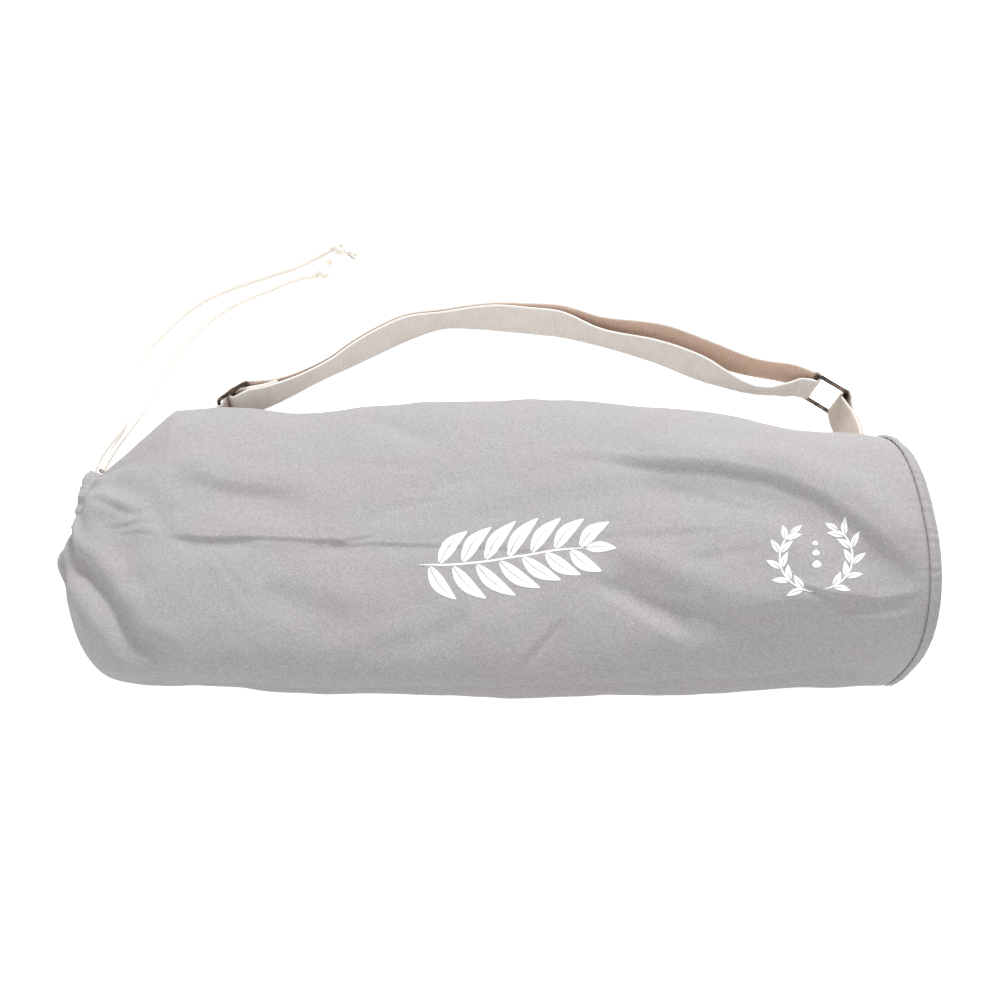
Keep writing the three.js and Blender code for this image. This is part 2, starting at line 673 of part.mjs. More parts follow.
function makeCordTail(name, route, knot) {
  const points = route.map((point) => vec(...point));
  const end = vec(...knot.centre);
  const arrival = end.clone().sub(points[points.length - 1]).normalize();
  points.push(end.addScaledVector(arrival, -(knotRadius + gap)));
  const curve = new THREE.CatmullRomCurve3(points, false, "centripetal");
  const section = new THREE.Shape().absarc(0, 0, cordRadius, 0, 2 * Math.PI);
  const tube = new THREE.ExtrudeGeometry(section, {
    steps: Math.round(curve.getLength() / (cordRadius * 4)),
    curveSegments: 4,
    bevelEnabled: false,
    extrudePath: curve,
  });
  return named(name, tube, cordCotton);
}

// An overhand knot: two crossing turns of cord round a core, and the frayed tip
function makeCordKnot(name, route, knot) {
  const centre = vec(...knot.centre);
  const arrival = centre.clone().sub(vec(...route[route.length - 1])).normalize();
  const tip = vec(...knot.tip, -0.3).normalize();
  const turnRadius = knotRadius - cordRadius;
  const turns = [0.5, -0.6].map((tilt) => {
    const turn = new THREE.TorusGeometry(turnRadius, cordRadius, 6, 10);
    turn.lookAt(arrival.clone().applyAxisAngle(vec(0, 0, 1), tilt));
    return solidOf(turn);
  });
  const rod = (direction, from, to, thin) => {
    const cylinder = new THREE.CylinderGeometry(thin, cordRadius, to - from, 8);
    cylinder.rotateX(Math.PI / 2);
    cylinder.translate(0, 0, (from + to) / 2);
    cylinder.lookAt(direction);
    return solidOf(cylinder);
  };
  const solid = turns[0].add(turns[1])
    .add(rod(arrival.clone().negate(), -turnRadius, knotRadius, cordRadius))
    .add(rod(tip, 0, knotRadius + tipLength, cordRadius * 0.7));
  const mesh = named(name, geometryOf(solid), cordCotton);
  mesh.position.copy(centre);
  return mesh;
}

// Everything on the cord apart from the bag itself

const bag = new THREE.Group();
bag.add(makeBagBody(), makeBasePanel(), makeDrawstringChannel());
bag.add(makeRing(), makeSlider(), makeShoulderStrap(), makeStrapTab());

const cords = new THREE.Group();
cords.add(makeCordTail("cord_tail_far", farCordRoute, farKnot));
cords.add(makeCordTail("cord_tail_near", nearCordRoute, nearKnot));
cords.add(makeCordKnot("cord_knot_far", farCordRoute, farKnot));
cords.add(makeCordKnot("cord_knot_near", nearCordRoute, nearKnot));

// The origin is on the floor under the middle of the bag with its strap
const group = new THREE.Group();
const box = new THREE.Box3().setFromObject(bag, true);
group.add(bag, cords);
group.position.set(-(box.min.x + box.max.x) / 2, -(box.min.y + box.max.y) / 2, -box.min.z);
export default group;
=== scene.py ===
"""Looks of the yoga mat bag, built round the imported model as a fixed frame.

The tables and sizes are the part's own, in millimetres, with the bag's mouth at -X and its strap at +Y.
place() turns them into the frame's metres.
"""

import math

import bpy
import numpy as np
from mathutils import Euler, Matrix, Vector
from mathutils.bvhtree import BVHTree


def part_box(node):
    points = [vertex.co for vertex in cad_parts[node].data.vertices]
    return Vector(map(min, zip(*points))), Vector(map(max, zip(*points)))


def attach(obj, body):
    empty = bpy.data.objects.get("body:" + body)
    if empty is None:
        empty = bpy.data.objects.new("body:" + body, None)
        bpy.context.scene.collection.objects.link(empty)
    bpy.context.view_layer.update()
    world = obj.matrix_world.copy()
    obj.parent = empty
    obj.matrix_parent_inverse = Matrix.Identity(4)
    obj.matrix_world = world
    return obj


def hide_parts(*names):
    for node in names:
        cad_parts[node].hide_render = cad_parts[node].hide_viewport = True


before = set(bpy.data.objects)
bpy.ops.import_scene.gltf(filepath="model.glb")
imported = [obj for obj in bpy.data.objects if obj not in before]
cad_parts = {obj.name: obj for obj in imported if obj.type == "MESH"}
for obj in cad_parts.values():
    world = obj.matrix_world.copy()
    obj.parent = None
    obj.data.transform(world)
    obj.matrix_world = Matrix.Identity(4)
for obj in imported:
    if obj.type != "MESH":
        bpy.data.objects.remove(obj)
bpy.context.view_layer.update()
rng = np.random.default_rng(7)

# Sizes of the bag, as in the part's source
BAG_LENGTH = 640.0
BAG_HALF_WIDTH = 125.0
BAG_HEIGHT = 84.0
CANVAS_WALL = 1.5
BASE_X = 300.0
BASE_LEAN = 0.19
BASE_TURN = -0.08
BASE_RIM = 6.0
BASE_BULGE = 9.0
FLAP_REACH = 7.0
FLAP_LIP = 9.0
MOUTH_HALF_WIDTH = 30.0
MOUTH_HALF_HEIGHT = 26.0
MOUTH_TURN = 0.28
MOUTH_CENTRE = np.array([BASE_X - BAG_LENGTH + 12.0, 40.0, 42.0])
GATHER_COUNT = 12
GATHER_DEPTH = 2.2
CHANNEL_THICKNESS = 5.0
WEBBING_WIDTH = 38.0
WEBBING_THICKNESS = 2.0
WIRE_RADIUS = 1.7
FRAME_WIDTH = 32.0
FRAME_CORNER = 5.0
BAR_PLAY = 1.7
RING_X, RING_Y = 275.0, 158.5
RING_ROLL = 0.19
RING_POSE = Euler((0.05, RING_ROLL, -0.53), "YXZ").to_matrix()
SLIDER_X, SLIDER_Y = -223.2, 149.4
SLIDER_TURN = 0.677
STRAP_BOW = 78.0
STRAP_SPLIT = 12.0
FOLDED_END = 36.0
ANCHOR_LENGTH = 23.0
ANCHOR_HEIGHT = 24.0
TAB_HEIGHT = 52.0
TAB_DRIFT = 1.5
TAB_LEAN = 0.5
TAB_OUT = 3.0
CORD_RADIUS = 2.75
KNOT_RADIUS = 7.0
GAP = 0.3
LAYER_GAP = 0.4
RIB_PITCH = 1.7
STRAND_PITCH = 2.1
WAVE_PERIOD = 0.314  # of a wave texture at scale 1
WAIST_SHARE = 0.45
TOP_ROUNDNESS = 2.3
FOOT_ROUNDNESS = 3.0
FOOT_SQUASH = 1.06
CAP_START = 0.885
SEAM_ROLL = 1.6
PUCKER = 0.3
INNER_DEPTH = 2.2  # extra depth of the inside behind the folds
FRAME_HEIGHT = WEBBING_WIDTH + 2 * BAR_PLAY + 4 * WIRE_RADIUS

# Mesh resolution
AROUND = 232
TUBE_RINGS = 288
CAP_RINGS = 60
INNER_RINGS = 72

# Cross-sections from the base to the mouth side: along is a share of the length, centre and half_width
# are shares of the half width, and height is a share of the height
SECTIONS = {
    "along": [0.0, 0.08, 0.16, 0.24, 0.32, 0.4, 0.48, 0.56, 0.64, 0.72, 0.8, 0.88],
    "centre": [-0.14, -0.103, -0.04, 0.02, 0.06, 0.09, 0.09, 0.1, 0.085, 0.06, 0.095, 0.095],
    "half_width": [0.765, 0.81, 0.89, 0.96, 1.0, 1.03, 1.03, 1.02, 1.0, 0.965, 0.97, 0.95],
    "height": [1.79, 1.67, 1.5, 1.31, 1.15, 1.05, 1.0, 0.98, 0.98, 0.98, 1.0, 1.02],
}

# Folds: name, width, heights left of the path, on it and right of it (walking along it, seen from
# above), how sharp the fold is, and the path as [along, across] shares
FOLDS = [
    ("long crease", 8, -0.9, 0.6, 1.0, 0.0,
     [[0.47, -0.11], [0.56, -0.05], [0.68, -0.06], [0.78, -0.05], [0.84, -0.07], [0.89, -0.03]]),
    ("mouth fold", 12, 1, -4, 2, 0.0, [[0.97, 0.44], [0.91, 0.24], [0.86, 0.04]]),
    ("shoulder band", 13, 2.5, 0, -2, 0.0, [[0.88, 0.45], [0.83, 0.35], [0.77, 0.29], [0.69, 0.27]]),
    ("flap valley", 11, 3, -9, 2, 0.0,
     [[1.01, -0.08], [0.97, -0.28], [0.94, -0.48], [0.91, -0.71], [0.84, -0.86]]),
    ("mouth valley", 15, 0, -4, 0, 0.0, [[0.96, 0.2], [0.93, -0.13], [0.9, -0.46]]),
    ("base arc", 17, -5, 0, 6, 0.0,
     [[-0.02, -0.6], [0.02, -0.35], [0.08, -0.05], [0.14, 0.16], [0.25, 0.32], [0.34, 0.49]]),
    ("low fold", 13, -4, 0, 3, 0.0,
     [[0.01, -0.69], [0.1, -0.7], [0.19, -0.68], [0.23, -0.55], [0.3, -0.36], [0.38, -0.17]]),
    ("slant ridge", 11, 0, 2, -3, 0.0, [[0.25, -0.81], [0.3, -0.64], [0.36, -0.44]]),
    ("far dent", 15, 0, -3, 0, 0.0, [[0.65, 0.92], [0.6, 0.8], [0.54, 0.64]]),
    ("near dent", 16, 0, -2, 1, 0.0, [[0.64, -0.62], [0.7, -0.5], [0.76, -0.4]]),
]

# The creases that are too fine for the solids
CREASES = [
    ("long crease pinch", 2.2, -1.2, 1.6, -0.1, 0.8,
     [[0.47, -0.11], [0.518, -0.1], [0.567, -0.09], [0.616, -0.075], [0.652, -0.085], [0.674, -0.055],
      [0.689, -0.062], [0.744, -0.045], [0.774, -0.045], [0.82, -0.055], [0.86, -0.035], [0.893, -0.02]]),
    ("long crease start", 3, -1.4, 0.6, 0, 0.6, [[0.40, -0.13], [0.44, -0.14], [0.47, -0.11], [0.51, -0.10]]),
    ("long crease lens", 5, 0, -2.2, 0, 0.2, [[0.76, -0.08], [0.80, -0.10], [0.84, -0.09], [0.88, -0.05]]),
    ("long crease dent", 4, 0, -1.6, 0, 0.2, [[0.65, -0.13], [0.67, -0.12], [0.70, -0.10]]),
    ("long crease step", 2.6, -1.2, 1.0, 0, 0.6, [[0.62, -0.02], [0.65, -0.05], [0.68, -0.08]]),
    ("long crease tail", 5, 0, 0.8, -0.6, 0.4, [[0.42, -0.06], [0.34, -0.05], [0.26, -0.08], [0.18, -0.1]]),
    ("arc edge", 4.5, 1.5, 0.6, -1.8, 0.5,
     [[0.42, 0.58], [0.34, 0.49], [0.27, 0.38], [0.2, 0.29], [0.14, 0.17], [0.09, 0.0], [0.05, -0.2],
      [0.01, -0.42], [-0.02, -0.6]]),
    ("seam crease", 3, 0.4, 2.0, -2.0, 0.6, [[0.13, -0.5], [0.08, -0.6], [0.03, -0.64], [-0.02, -0.62]]),
    ("seam crease foot", 3.5, 0, -2.2, 1.4, 0.5, [[0.08, -0.68], [0.04, -0.71], [-0.01, -0.69]]),
    ("low fold edge", 4, 0.5, 0.5, -1.4, 0.5,
     [[0.3, -0.48], [0.25, -0.58], [0.2, -0.66], [0.15, -0.63], [0.08, -0.66]]),
    ("low slant", 7, -1, 0, 1.2, 0.2, [[0.38, -0.17], [0.34, -0.28], [0.29, -0.42], [0.25, -0.56]]),
    ("slant crest", 3.5, 0.8, 0.9, -0.4, 0.6, [[0.37, -0.4], [0.33, -0.53], [0.29, -0.67], [0.25, -0.8]]),
    ("triangle", 8, 0, -1.7, 0, 0.2, [[0.33, -0.49], [0.28, -0.63], [0.22, -0.79]]),
    ("short crease", 3.2, -1.3, 0.4, 0.8, 0.6, [[0.395, -0.56], [0.41, -0.66], [0.43, -0.76], [0.45, -0.86]]),
    ("faint right", 4, 0.3, 0, -0.6, 0.4, [[0.27, -0.27], [0.21, -0.27], [0.14, -0.25]]),
    ("faint slope", 3, 0.4, 0.2, -0.5, 0.5, [[0.27, 0.27], [0.23, 0.16], [0.19, 0.06], [0.14, -0.05]]),
    ("upright right", 6, 0.6, 0, -0.9, 0.2, [[0.2, -0.26], [0.22, -0.4], [0.23, -0.55]]),
    ("low middle", 9, 0.6, -1.6, 0, 0.2, [[0.63, -0.78], [0.58, -0.71], [0.53, -0.64], [0.5, -0.52]]),
    ("left slant", 3, -0.5, 0.2, 0.6, 0.6, [[0.82, -0.17], [0.8, -0.3], [0.78, -0.44], [0.76, -0.6]]),
    ("left hollow", 14, 0.6, -1.1, 0, 0.0, [[0.77, -0.4], [0.71, -0.48], [0.64, -0.57]]),
    ("top slant", 7, 0.4, -1.4, 0, 0.2, [[0.65, 0.95], [0.61, 0.83], [0.56, 0.7]]),
    ("top faint", 5, 0, -0.7, 0.3, 0.3, [[0.68, 0.5], [0.62, 0.47], [0.55, 0.45]]),
    ("middle small", 4, 0, -0.8, 0.4, 0.4, [[0.62, 0.14], [0.58, 0.17], [0.54, 0.23]]),
    ("middle upper", 4, 0, -0.7, 0.4, 0.4, [[0.56, 0.27], [0.53, 0.33], [0.5, 0.38]]),
    ("print soft", 10, 0.5, 0, -0.8, 0.0, [[0.52, 0.16], [0.45, 0.23], [0.38, 0.27], [0.3, 0.29]]),
    ("shoulder edge", 5, 1.0, 0, -1.1, 0.4, [[0.86, 0.4], [0.82, 0.33], [0.78, 0.29], [0.72, 0.27]]),
    ("mouth crease", 3.4, 1.2, 0.2, -2.0, 0.6, [[0.975, 0.3], [0.95, 0.22], [0.925, 0.15], [0.9, 0.1]]),
    ("mouth crease low", 2.6, 0.6, 0.8, -1.0, 0.7, [[0.96, 0.06], [0.93, 0.05], [0.9, 0.07], [0.885, 0.05]]),
    ("mouth crease end", 2.6, -0.9, 0.7, 0, 0.7, [[0.885, -0.02], [0.91, 0.0], [0.94, -0.01]]),
    ("mouth slant", 6, 0.7, 0, -1.5, 0.4, [[0.93, 0.24], [0.9, 0.16], [0.875, 0.06], [0.86, 0.0]]),
    ("flap crease", 4.5, 1.2, -2.6, 1.4, 0.6,
     [[1.0, -0.12], [0.975, -0.26], [0.95, -0.42], [0.93, -0.56], [0.91, -0.7], [0.87, -0.82]]),
    ("flap top", 3.5, 0, -1.3, 0.8, 0.5, [[1.0, -0.06], [0.985, -0.1], [0.96, -0.22]]),
]

# The strap's run from the slider to the ring
STRAP_RUN = {
    "span": [0, 0.034, 0.07, 0.106, 0.14, 0.172, 0.213, 0.275, 0.343, 0.4, 0.444, 0.5, 0.563, 0.637,
             0.738, 0.817, 0.87, 0.921, 0.963, 0.985, 1],
    "bow": [0, 0.055, 0.16, 0.295, 0.418, 0.547, 0.705, 0.905, 1.014, 1.04, 1.037, 1.007, 0.96, 0.804,
            0.645, 0.422, 0.264, 0.132, 0.068, 0.04, 0],
    "split": [0.3, 0.23, 0.17, 0.14, 0.13, 0.13, 0.13, 0.13, 0.13, 0.13, 0.14, 0.21, 0.3, 0.47, 0.71,
              0.73, 0.84, 0.9, 0.66, 0.4, 0.26],
    "lean": [0, 0.08, 0.16, 0.2, 0.18, 0.06, -0.02, -0.02, 0.18, 0.05, -0.06, -0.07, -0.05, 0.17, 0.02,
             -0.03, 0.22, 0.4, 0.32, 0.15, 0],
}

FAR_CORD = [
    [-331, 69.1, 50], [-326, 90, 46], [-318, 112, 38], [-314, 130, 28], [-316, 149, 18],
    [-318, 168, 10], [-316, 188, 5], [-312, 206, 3], [-303, 223, 3], [-292, 238, 3],
    [-281, 252, 3], [-265, 267, 3], [-245, 279, 3], [-225, 288, 3], [-205, 296, 3],
    [-185, 304, 3], [-169, 313, 3], [-151, 325, 3],
]
NEAR_CORD = [
    [-325, 73.6, 45], [-320, 96, 37], [-313, 119, 27], [-307, 138, 19], [-302, 156, 12],
    [-296, 177, 6], [-288, 200, 3], [-278, 219, 3], [-266, 235, 3], [-255, 248, 3],
    [-240, 261, 3], [-222, 272, 3], [-204, 281, 3], [-189, 289, 3], [-175, 294, 3],
    [-164, 296, 3],
]
FAR_KNOT = ([-143.5, 323, 7.3], [0.9, -0.43])
NEAR_KNOT = ([-156, 297, 7.3], [0.2, 0.98])

# Place of the part's own coordinates in the frame
slider_low, slider_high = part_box("strap_slider")
SHIFT = np.array([
    (slider_low[0] + slider_high[0]) * 500 - SLIDER_X,
    (slider_low[1] + slider_high[1]) * 500 - SLIDER_Y,
    0.0,
])


def place(points):
    """The part's millimetres as the frame's metres."""
    return (np.asarray(points, float) + SHIFT) / 1000


# Small maths


def smooth(x, low, high):
    t = np.clip((np.asarray(x, float) - low) / (high - low), 0, 1)
    return t * t * (3 - 2 * t)


def mix(a, b, t):
    return a + (b - a) * t


def unit(v):
    v = np.asarray(v, float)
    return v / np.maximum(np.linalg.norm(v, axis=-1, keepdims=True), 1e-9)


def read_table(table, key, column, at):
    """A column of a table between its rows, on a smooth curve through them."""
    keys = np.array(table[key], float)
    values = np.array(table[column], float)
    last = len(keys) - 1
    at = np.clip(np.asarray(at, float), keys[0], keys[last])
    after = np.minimum(np.arange(last + 1) + 1, last)
    before = np.maximum(np.arange(last + 1) - 1, 0)
    slopes = (values[after] - values[before]) / (keys[after] - keys[before])
    i = np.clip(np.searchsorted(keys, at) - 1, 0, last - 1)
    step = keys[i + 1] - keys[i]
    t = (at - keys[i]) / step
    start = (1 + 2 * t) * (1 - t) ** 2 * values[i]
    end = t * t * (3 - 2 * t) * values[i + 1]
    return start + end + step * t * (1 - t) * ((1 - t) * slopes[i] - t * slopes[i + 1])


def along_line(line, shares):
    """Points at shares of a polyline's length."""
    line = np.asarray(line, float)
    lengths = np.concatenate([[0], np.cumsum(np.linalg.norm(np.diff(line, axis=0), axis=1))])
    wanted = np.asarray(shares) * lengths[-1]
    return np.stack([np.interp(wanted, lengths, line[:, j]) for j in range(line.shape[1])], axis=1)


def line_length(line):
    return float(np.linalg.norm(np.diff(np.asarray(line, float), axis=0), axis=1).sum())


def catmull(points, steps):
    """A centripetal curve through points, with evenly spaced samples."""
    p = np.asarray(points, float)
    p = np.vstack([2 * p[0] - p[1], p, 2 * p[-1] - p[-2]])
    fine = []
    for i in range(1, len(p) - 2):
        a, b, c, d = p[i - 1], p[i], p[i + 1], p[i + 2]
        t0 = 0.0
        t1 = t0 + np.linalg.norm(b - a) ** 0.5
        t2 = t1 + np.linalg.norm(c - b) ** 0.5
        t3 = t2 + np.linalg.norm(d - c) ** 0.5
        for t in np.linspace(t1, t2, 12, endpoint=False):
            ab = (t1 - t) / (t1 - t0) * a + (t - t0) / (t1 - t0) * b
            bc = (t2 - t) / (t2 - t1) * b + (t - t1) / (t2 - t1) * c
            cd = (t3 - t) / (t3 - t2) * c + (t - t2) / (t3 - t2) * d
            abc = (t2 - t) / (t2 - t0) * ab + (t - t0) / (t2 - t0) * bc
            bcd = (t3 - t) / (t3 - t1) * bc + (t - t1) / (t3 - t1) * cd
            fine.append((t2 - t) / (t2 - t1) * abc + (t - t1) / (t2 - t1) * bcd)
    fine.append(p[-2])
    return along_line(fine, np.linspace(0, 1, steps + 1))


# Meshes


def mesh_from_rings(name, rings, material, looped=False, capped=True, uv=None, second=None):
    """A smooth mesh from rings of points in the part's millimetres, with a UV map in metres.

    uv is (along, around): a value for each ring (one more when looped) and for each column and the
    first again. second is (material, mask of the quads that take it).
    """
    rings = np.asarray(rings, float)
    count, columns = rings.shape[:2]
    points = rings.reshape(-1, 3)
    spans = count if looped else count - 1
    i, k = np.meshgrid(np.arange(spans), np.arange(columns), indexing="ij")
    j, beside = (i + 1) % count, (k + 1) % columns
    quads = np.stack([i * columns + k, j * columns + k, j * columns + beside, i * columns + beside], axis=2)
    a, b, c, d = (points[quads[..., m]] for m in range(4))
    volume = np.einsum("ikj,ikj->", a, np.cross(b, c) + np.cross(c, d))
    corners = np.stack([np.stack([i + m, k + n]) for m, n in ((0, 0), (1, 0), (1, 1), (0, 1))])
    if volume < 0:
        quads = quads[..., ::-1]
        corners = corners[::-1]
    faces = quads.reshape(-1, 4).tolist()
    vertices = place(points).tolist()
    if not looped and capped:
        for end, row in ((0, 0), (1, count - 1)):
            middle = len(vertices)
            vertices.append(place(rings[row].mean(axis=0)).tolist())
            for m in range(columns):
                pair = [row * columns + m, row * columns + (m + 1) % columns]
                if (end == 1) == (volume >= 0):
                    pair.reverse()
                faces.append([middle, pair[1], pair[0]])
    mesh = bpy.data.meshes.new(name)
    mesh.from_pydata(vertices, [], faces)
    mesh.polygons.foreach_set("use_smooth", np.ones(len(faces), bool))
    mesh.materials.append(material)
    if uv is not None:
        layer = mesh.uv_layers.new(name="Cloth")
        u = np.asarray(uv[0], float)[corners[:, 0]]
        v = np.asarray(uv[1], float)[corners[:, 1]]
        flat = np.stack([u, v], axis=-1).transpose(1, 2, 0, 3).reshape(-1, 2)
        values = np.zeros((len(mesh.loops), 2))
        values[: len(flat)] = flat
        layer.data.foreach_set("uv", values.ravel())
    if second is not None:
        mesh.materials.append(second[0])
        index = np.zeros(len(faces), int)
        index[: second[1].size] = second[1].reshape(-1)
        mesh.polygons.foreach_set("material_index", index)
    mesh.validate()
    obj = bpy.data.objects.new(name, mesh)
    bpy.context.scene.collection.objects.link(obj)
    return obj


def ring_faces(count, columns):
    """The quads between closed rings of points."""
    faces = []
    for i in range(count - 1):
        for k in range(columns):
            start, beside = i * columns, (k + 1) % columns
            faces.append([start + k, start + beside, start + columns + beside, start + columns + k])
    return faces


def closed_shape(rings):
    """A closed shape of rings with a face over each end, as (vertices, faces)."""
    rings = np.asarray(rings)
    count, columns = rings.shape[:2]
    ends = [list(range(columns - 1, -1, -1)), list(range((count - 1) * columns, count * columns))]
    return rings.reshape(-1, 3), ring_faces(count, columns) + ends


def join_shapes(name, shapes, material):
    """One mesh from several (vertices in millimetres, faces) shapes."""
    vertices, faces = [], []
    for points, shape_faces in shapes:
        start = len(vertices)
        vertices.extend(place(points).tolist())
        faces.extend([[start + v for v in face] for face in shape_faces])
    mesh = bpy.data.meshes.new(name)
    mesh.from_pydata(vertices, [], faces)
    mesh.polygons.foreach_set("use_smooth", np.ones(len(faces), bool))
    mesh.materials.append(material)
    obj = bpy.data.objects.new(name, mesh)
    bpy.context.scene.collection.objects.link(obj)
    return obj


def tube_rings(path, radius, sides, closed=False):
    """Round rings along a path, with a frame that doesn't twist."""
    path = np.asarray(path, float)
    steps = np.roll(path, -1, 0) - np.roll(path, 1, 0) if closed else np.gradient(path, axis=0)
    tangents = unit(steps)
    radius = np.broadcast_to(radius, len(path))
    side = np.cross(tangents[0], [0, 0, 1.0])
    side = unit(side if np.linalg.norm(side) > 0.1 else np.cross(tangents[0], [0, 1.0, 0]))
    rings = []
    for point, tangent, r in zip(path, tangents, radius):
        side = unit(side - tangent * np.dot(side, tangent))
        up = np.cross(side, tangent)
        angles = np.linspace(0, 2 * math.pi, sides, endpoint=False)[:, None]
        rings.append(point + r * (np.cos(angles) * side + np.sin(angles) * up))
    return np.array(rings)


# Materials


def new_material(name, roughness, metallic=0.0):
    material = bpy.data.materials.new(name)
    material.use_nodes = True
    tree = material.node_tree
    shader = next(n for n in tree.nodes if n.type == "BSDF_PRINCIPLED")
    shader.inputs["Roughness"].default_value = roughness
    shader.inputs["Metallic"].default_value = metallic
    return material, tree, shader


def add(tree, kind, links=None, **values):
    """A node with its inputs set or linked by name or number."""
    node = tree.nodes.new(kind)
    for key, value in values.items():
        if hasattr(node, key):
            setattr(node, key, value)
        else:
            node.inputs[key.replace("_", " ")].default_value = value
    for key, output in (links or {}).items():
        tree.links.new(output, node.inputs[key])
    return node


def ramp(tree, value, stops):
    node = tree.nodes.new("ShaderNodeValToRGB")
    tree.links.new(value, node.inputs[0])
    elements = node.color_ramp.elements
    while len(elements) < len(stops):
        elements.new(0.5)
    for element, (at, colour) in zip(elements, stops):
        element.position = at
        element.color = (*colour, 1)
    return node.outputs[0]


def blend_colours(tree, factor, a, b, mode="MIX", amount=None):
    node = tree.nodes.new("ShaderNodeMix")
    node.data_type = "RGBA"
    node.blend_type = mode
    if factor is None:
        node.inputs[0].default_value = amount
    else:
        tree.links.new(factor, node.inputs[0])
    for socket, value in ((node.inputs[6], a), (node.inputs[7], b)):
        if isinstance(value, tuple):
            socket.default_value = (*value, 1)
        else:
            tree.links.new(value, socket)
    return node.outputs[2]


def noise(tree, scale, detail):
    """Noise fixed to the object."""
    place_node = add(tree, "ShaderNodeTexCoord").outputs["Object"]
    return add(tree, "ShaderNodeTexNoise", {"Vector": place_node}, Scale=scale, Detail=detail).outputs[0]


def multiplied(tree, colour, shade):
    return blend_colours(tree, None, colour, shade, "MULTIPLY", 1.0)


def canvas_material(name, light, dark):
    material, tree, shader = new_material(name, 0.92)
    fine = noise(tree, 820.0, 2.0)
    colour = ramp(tree, fine, [(0.34, dark), (0.66, light)])
    shade = ramp(tree, noise(tree, 330.0, 1.0), [(0.3, (0.93, 0.925, 0.93)), (0.7, (1.0, 1.0, 1.0))])
    colour = multiplied(tree, colour, shade)
    warmth = ramp(tree, noise(tree, 14.0, 2.0), [(0.38, (0.985, 0.99, 1.0)), (0.62, (1.0, 0.985, 0.985))])
    colour = multiplied(tree, colour, warmth)
    tree.links.new(colour, shader.inputs["Base Color"])
    cloth = add(tree, "ShaderNodeUVMap", uv_map="Cloth").outputs[0]
    turned = add(tree, "ShaderNodeMapping", {"Vector": cloth}, Rotation=(0, 0, 0.9))
    twill = add(tree, "ShaderNodeTexWave", {"Vector": turned.outputs[0]},
                Scale=230.0, Distortion=1.2, Detail=1.0)
    twill.inputs["Detail Scale"].default_value = 3.0
    weave = add(tree, "ShaderNodeBump", {"Height": twill.outputs[1]}, Strength=0.25, Distance=0.0003)
    threads = add(tree, "ShaderNodeBump", {"Height": fine, "Normal": weave.outputs[0]},
                  Strength=0.35, Distance=0.0004)
    tree.links.new(threads.outputs[0], shader.inputs["Normal"])
    shader.inputs["Sheen Weight"].default_value = 0.12
    shader.inputs["Sheen Roughness"].default_value = 0.6
    return material


def webbing_material(name, light, dark, edge):
    """Ribbed webbing: ribs run across its width, their grooves painted darker as painted shade, and both
    edges painted paler as a painted highlight.
    """
    material, tree, shader = new_material(name, 0.9)
    cloth = add(tree, "ShaderNodeUVMap", uv_map="Cloth").outputs[0]
    split = add(tree, "ShaderNodeSeparateXYZ", {"Vector": cloth})
    ribs = add(tree, "ShaderNodeTexWave", {"Vector": cloth},
               Scale=WAVE_PERIOD / RIB_PITCH * 1000, Distortion=0.8, Detail=1.0)
    ribs.inputs["Detail Scale"].default_value = 4.0
    fine = noise(tree, 900.0, 2.0)
    # Colour follows the rib height: the grooves between the ribs are painted darker, painted shade
    colour = ramp(tree, ribs.outputs[1], [(0.0, dark), (0.75, light)])
    speckle = ramp(tree, fine, [(0.32, (0.84, 0.83, 0.82)), (0.62, (1.0, 1.0, 1.0))])
    colour = multiplied(tree, colour, speckle)
    tone = ramp(tree, noise(tree, 60.0, 2.0), [(0.35, (0.95, 0.94, 0.93)), (0.65, (1.0, 1.0, 1.0))])
    colour = multiplied(tree, colour, tone)
    # Both edges painted paler: a painted highlight along the webbing's edges
    off_middle = add(tree, "ShaderNodeMath", {0: split.outputs[1]}, operation="ABSOLUTE")
    at_edge = add(tree, "ShaderNodeMapRange", {"Value": off_middle.outputs[0]})
    at_edge.inputs["From Min"].default_value = 0.0168
    at_edge.inputs["From Max"].default_value = 0.0184
    colour = blend_colours(tree, at_edge.outputs[0], colour, edge)
    tree.links.new(colour, shader.inputs["Base Color"])
    ridge = add(tree, "ShaderNodeBump", {"Height": ribs.outputs[1]}, Strength=0.6, Distance=0.0004)
    threads = add(tree, "ShaderNodeBump", {"Height": fine, "Normal": ridge.outputs[0]},
                  Strength=0.5, Distance=0.0004)
    tree.links.new(threads.outputs[0], shader.inputs["Normal"])
    shader.inputs["Sheen Weight"].default_value = 0.1
    return material


def cord_material(name):
    """Braided cotton: two crossing helices of strands."""
    material, tree, shader = new_material(name, 0.9)
    cloth = add(tree, "ShaderNodeUVMap", uv_map="Cloth").outputs[0]
    heights = []
    for slant in (0.75, -0.75):
        turned = add(tree, "ShaderNodeMapping", {"Vector": cloth}, Rotation=(0, 0, slant))
        wave = add(tree, "ShaderNodeTexWave", {"Vector": turned.outputs[0]},
                   Scale=WAVE_PERIOD / STRAND_PITCH * 1000)
        heights.append(wave.outputs[1])
    braid = add(tree, "ShaderNodeMath", {0: heights[0], 1: heights[1]}, operation="MAXIMUM")
    fuzz = noise(tree, 700.0, 3.0)
    # Colour follows the braid's height: the crevices between strands are painted darker, painted shade
    colour = ramp(tree, braid.outputs[0], [(0.1, (0.76, 0.69, 0.6)), (0.8, (0.93, 0.89, 0.83))])
    speckle = ramp(tree, fuzz, [(0.3, (0.93, 0.92, 0.9)), (0.6, (1.0, 1.0, 1.0))])
    colour = multiplied(tree, colour, speckle)
    tree.links.new(colour, shader.inputs["Base Color"])
    strands = add(tree, "ShaderNodeBump", {"Height": braid.outputs[0]}, Strength=0.55, Distance=0.0006)
    fuzzy = add(tree, "ShaderNodeBump", {"Height": fuzz, "Normal": strands.outputs[0]},
                Strength=0.4, Distance=0.0004)
    tree.links.new(fuzzy.outputs[0], shader.inputs["Normal"])
    shader.inputs["Sheen Weight"].default_value = 0.2
    return material


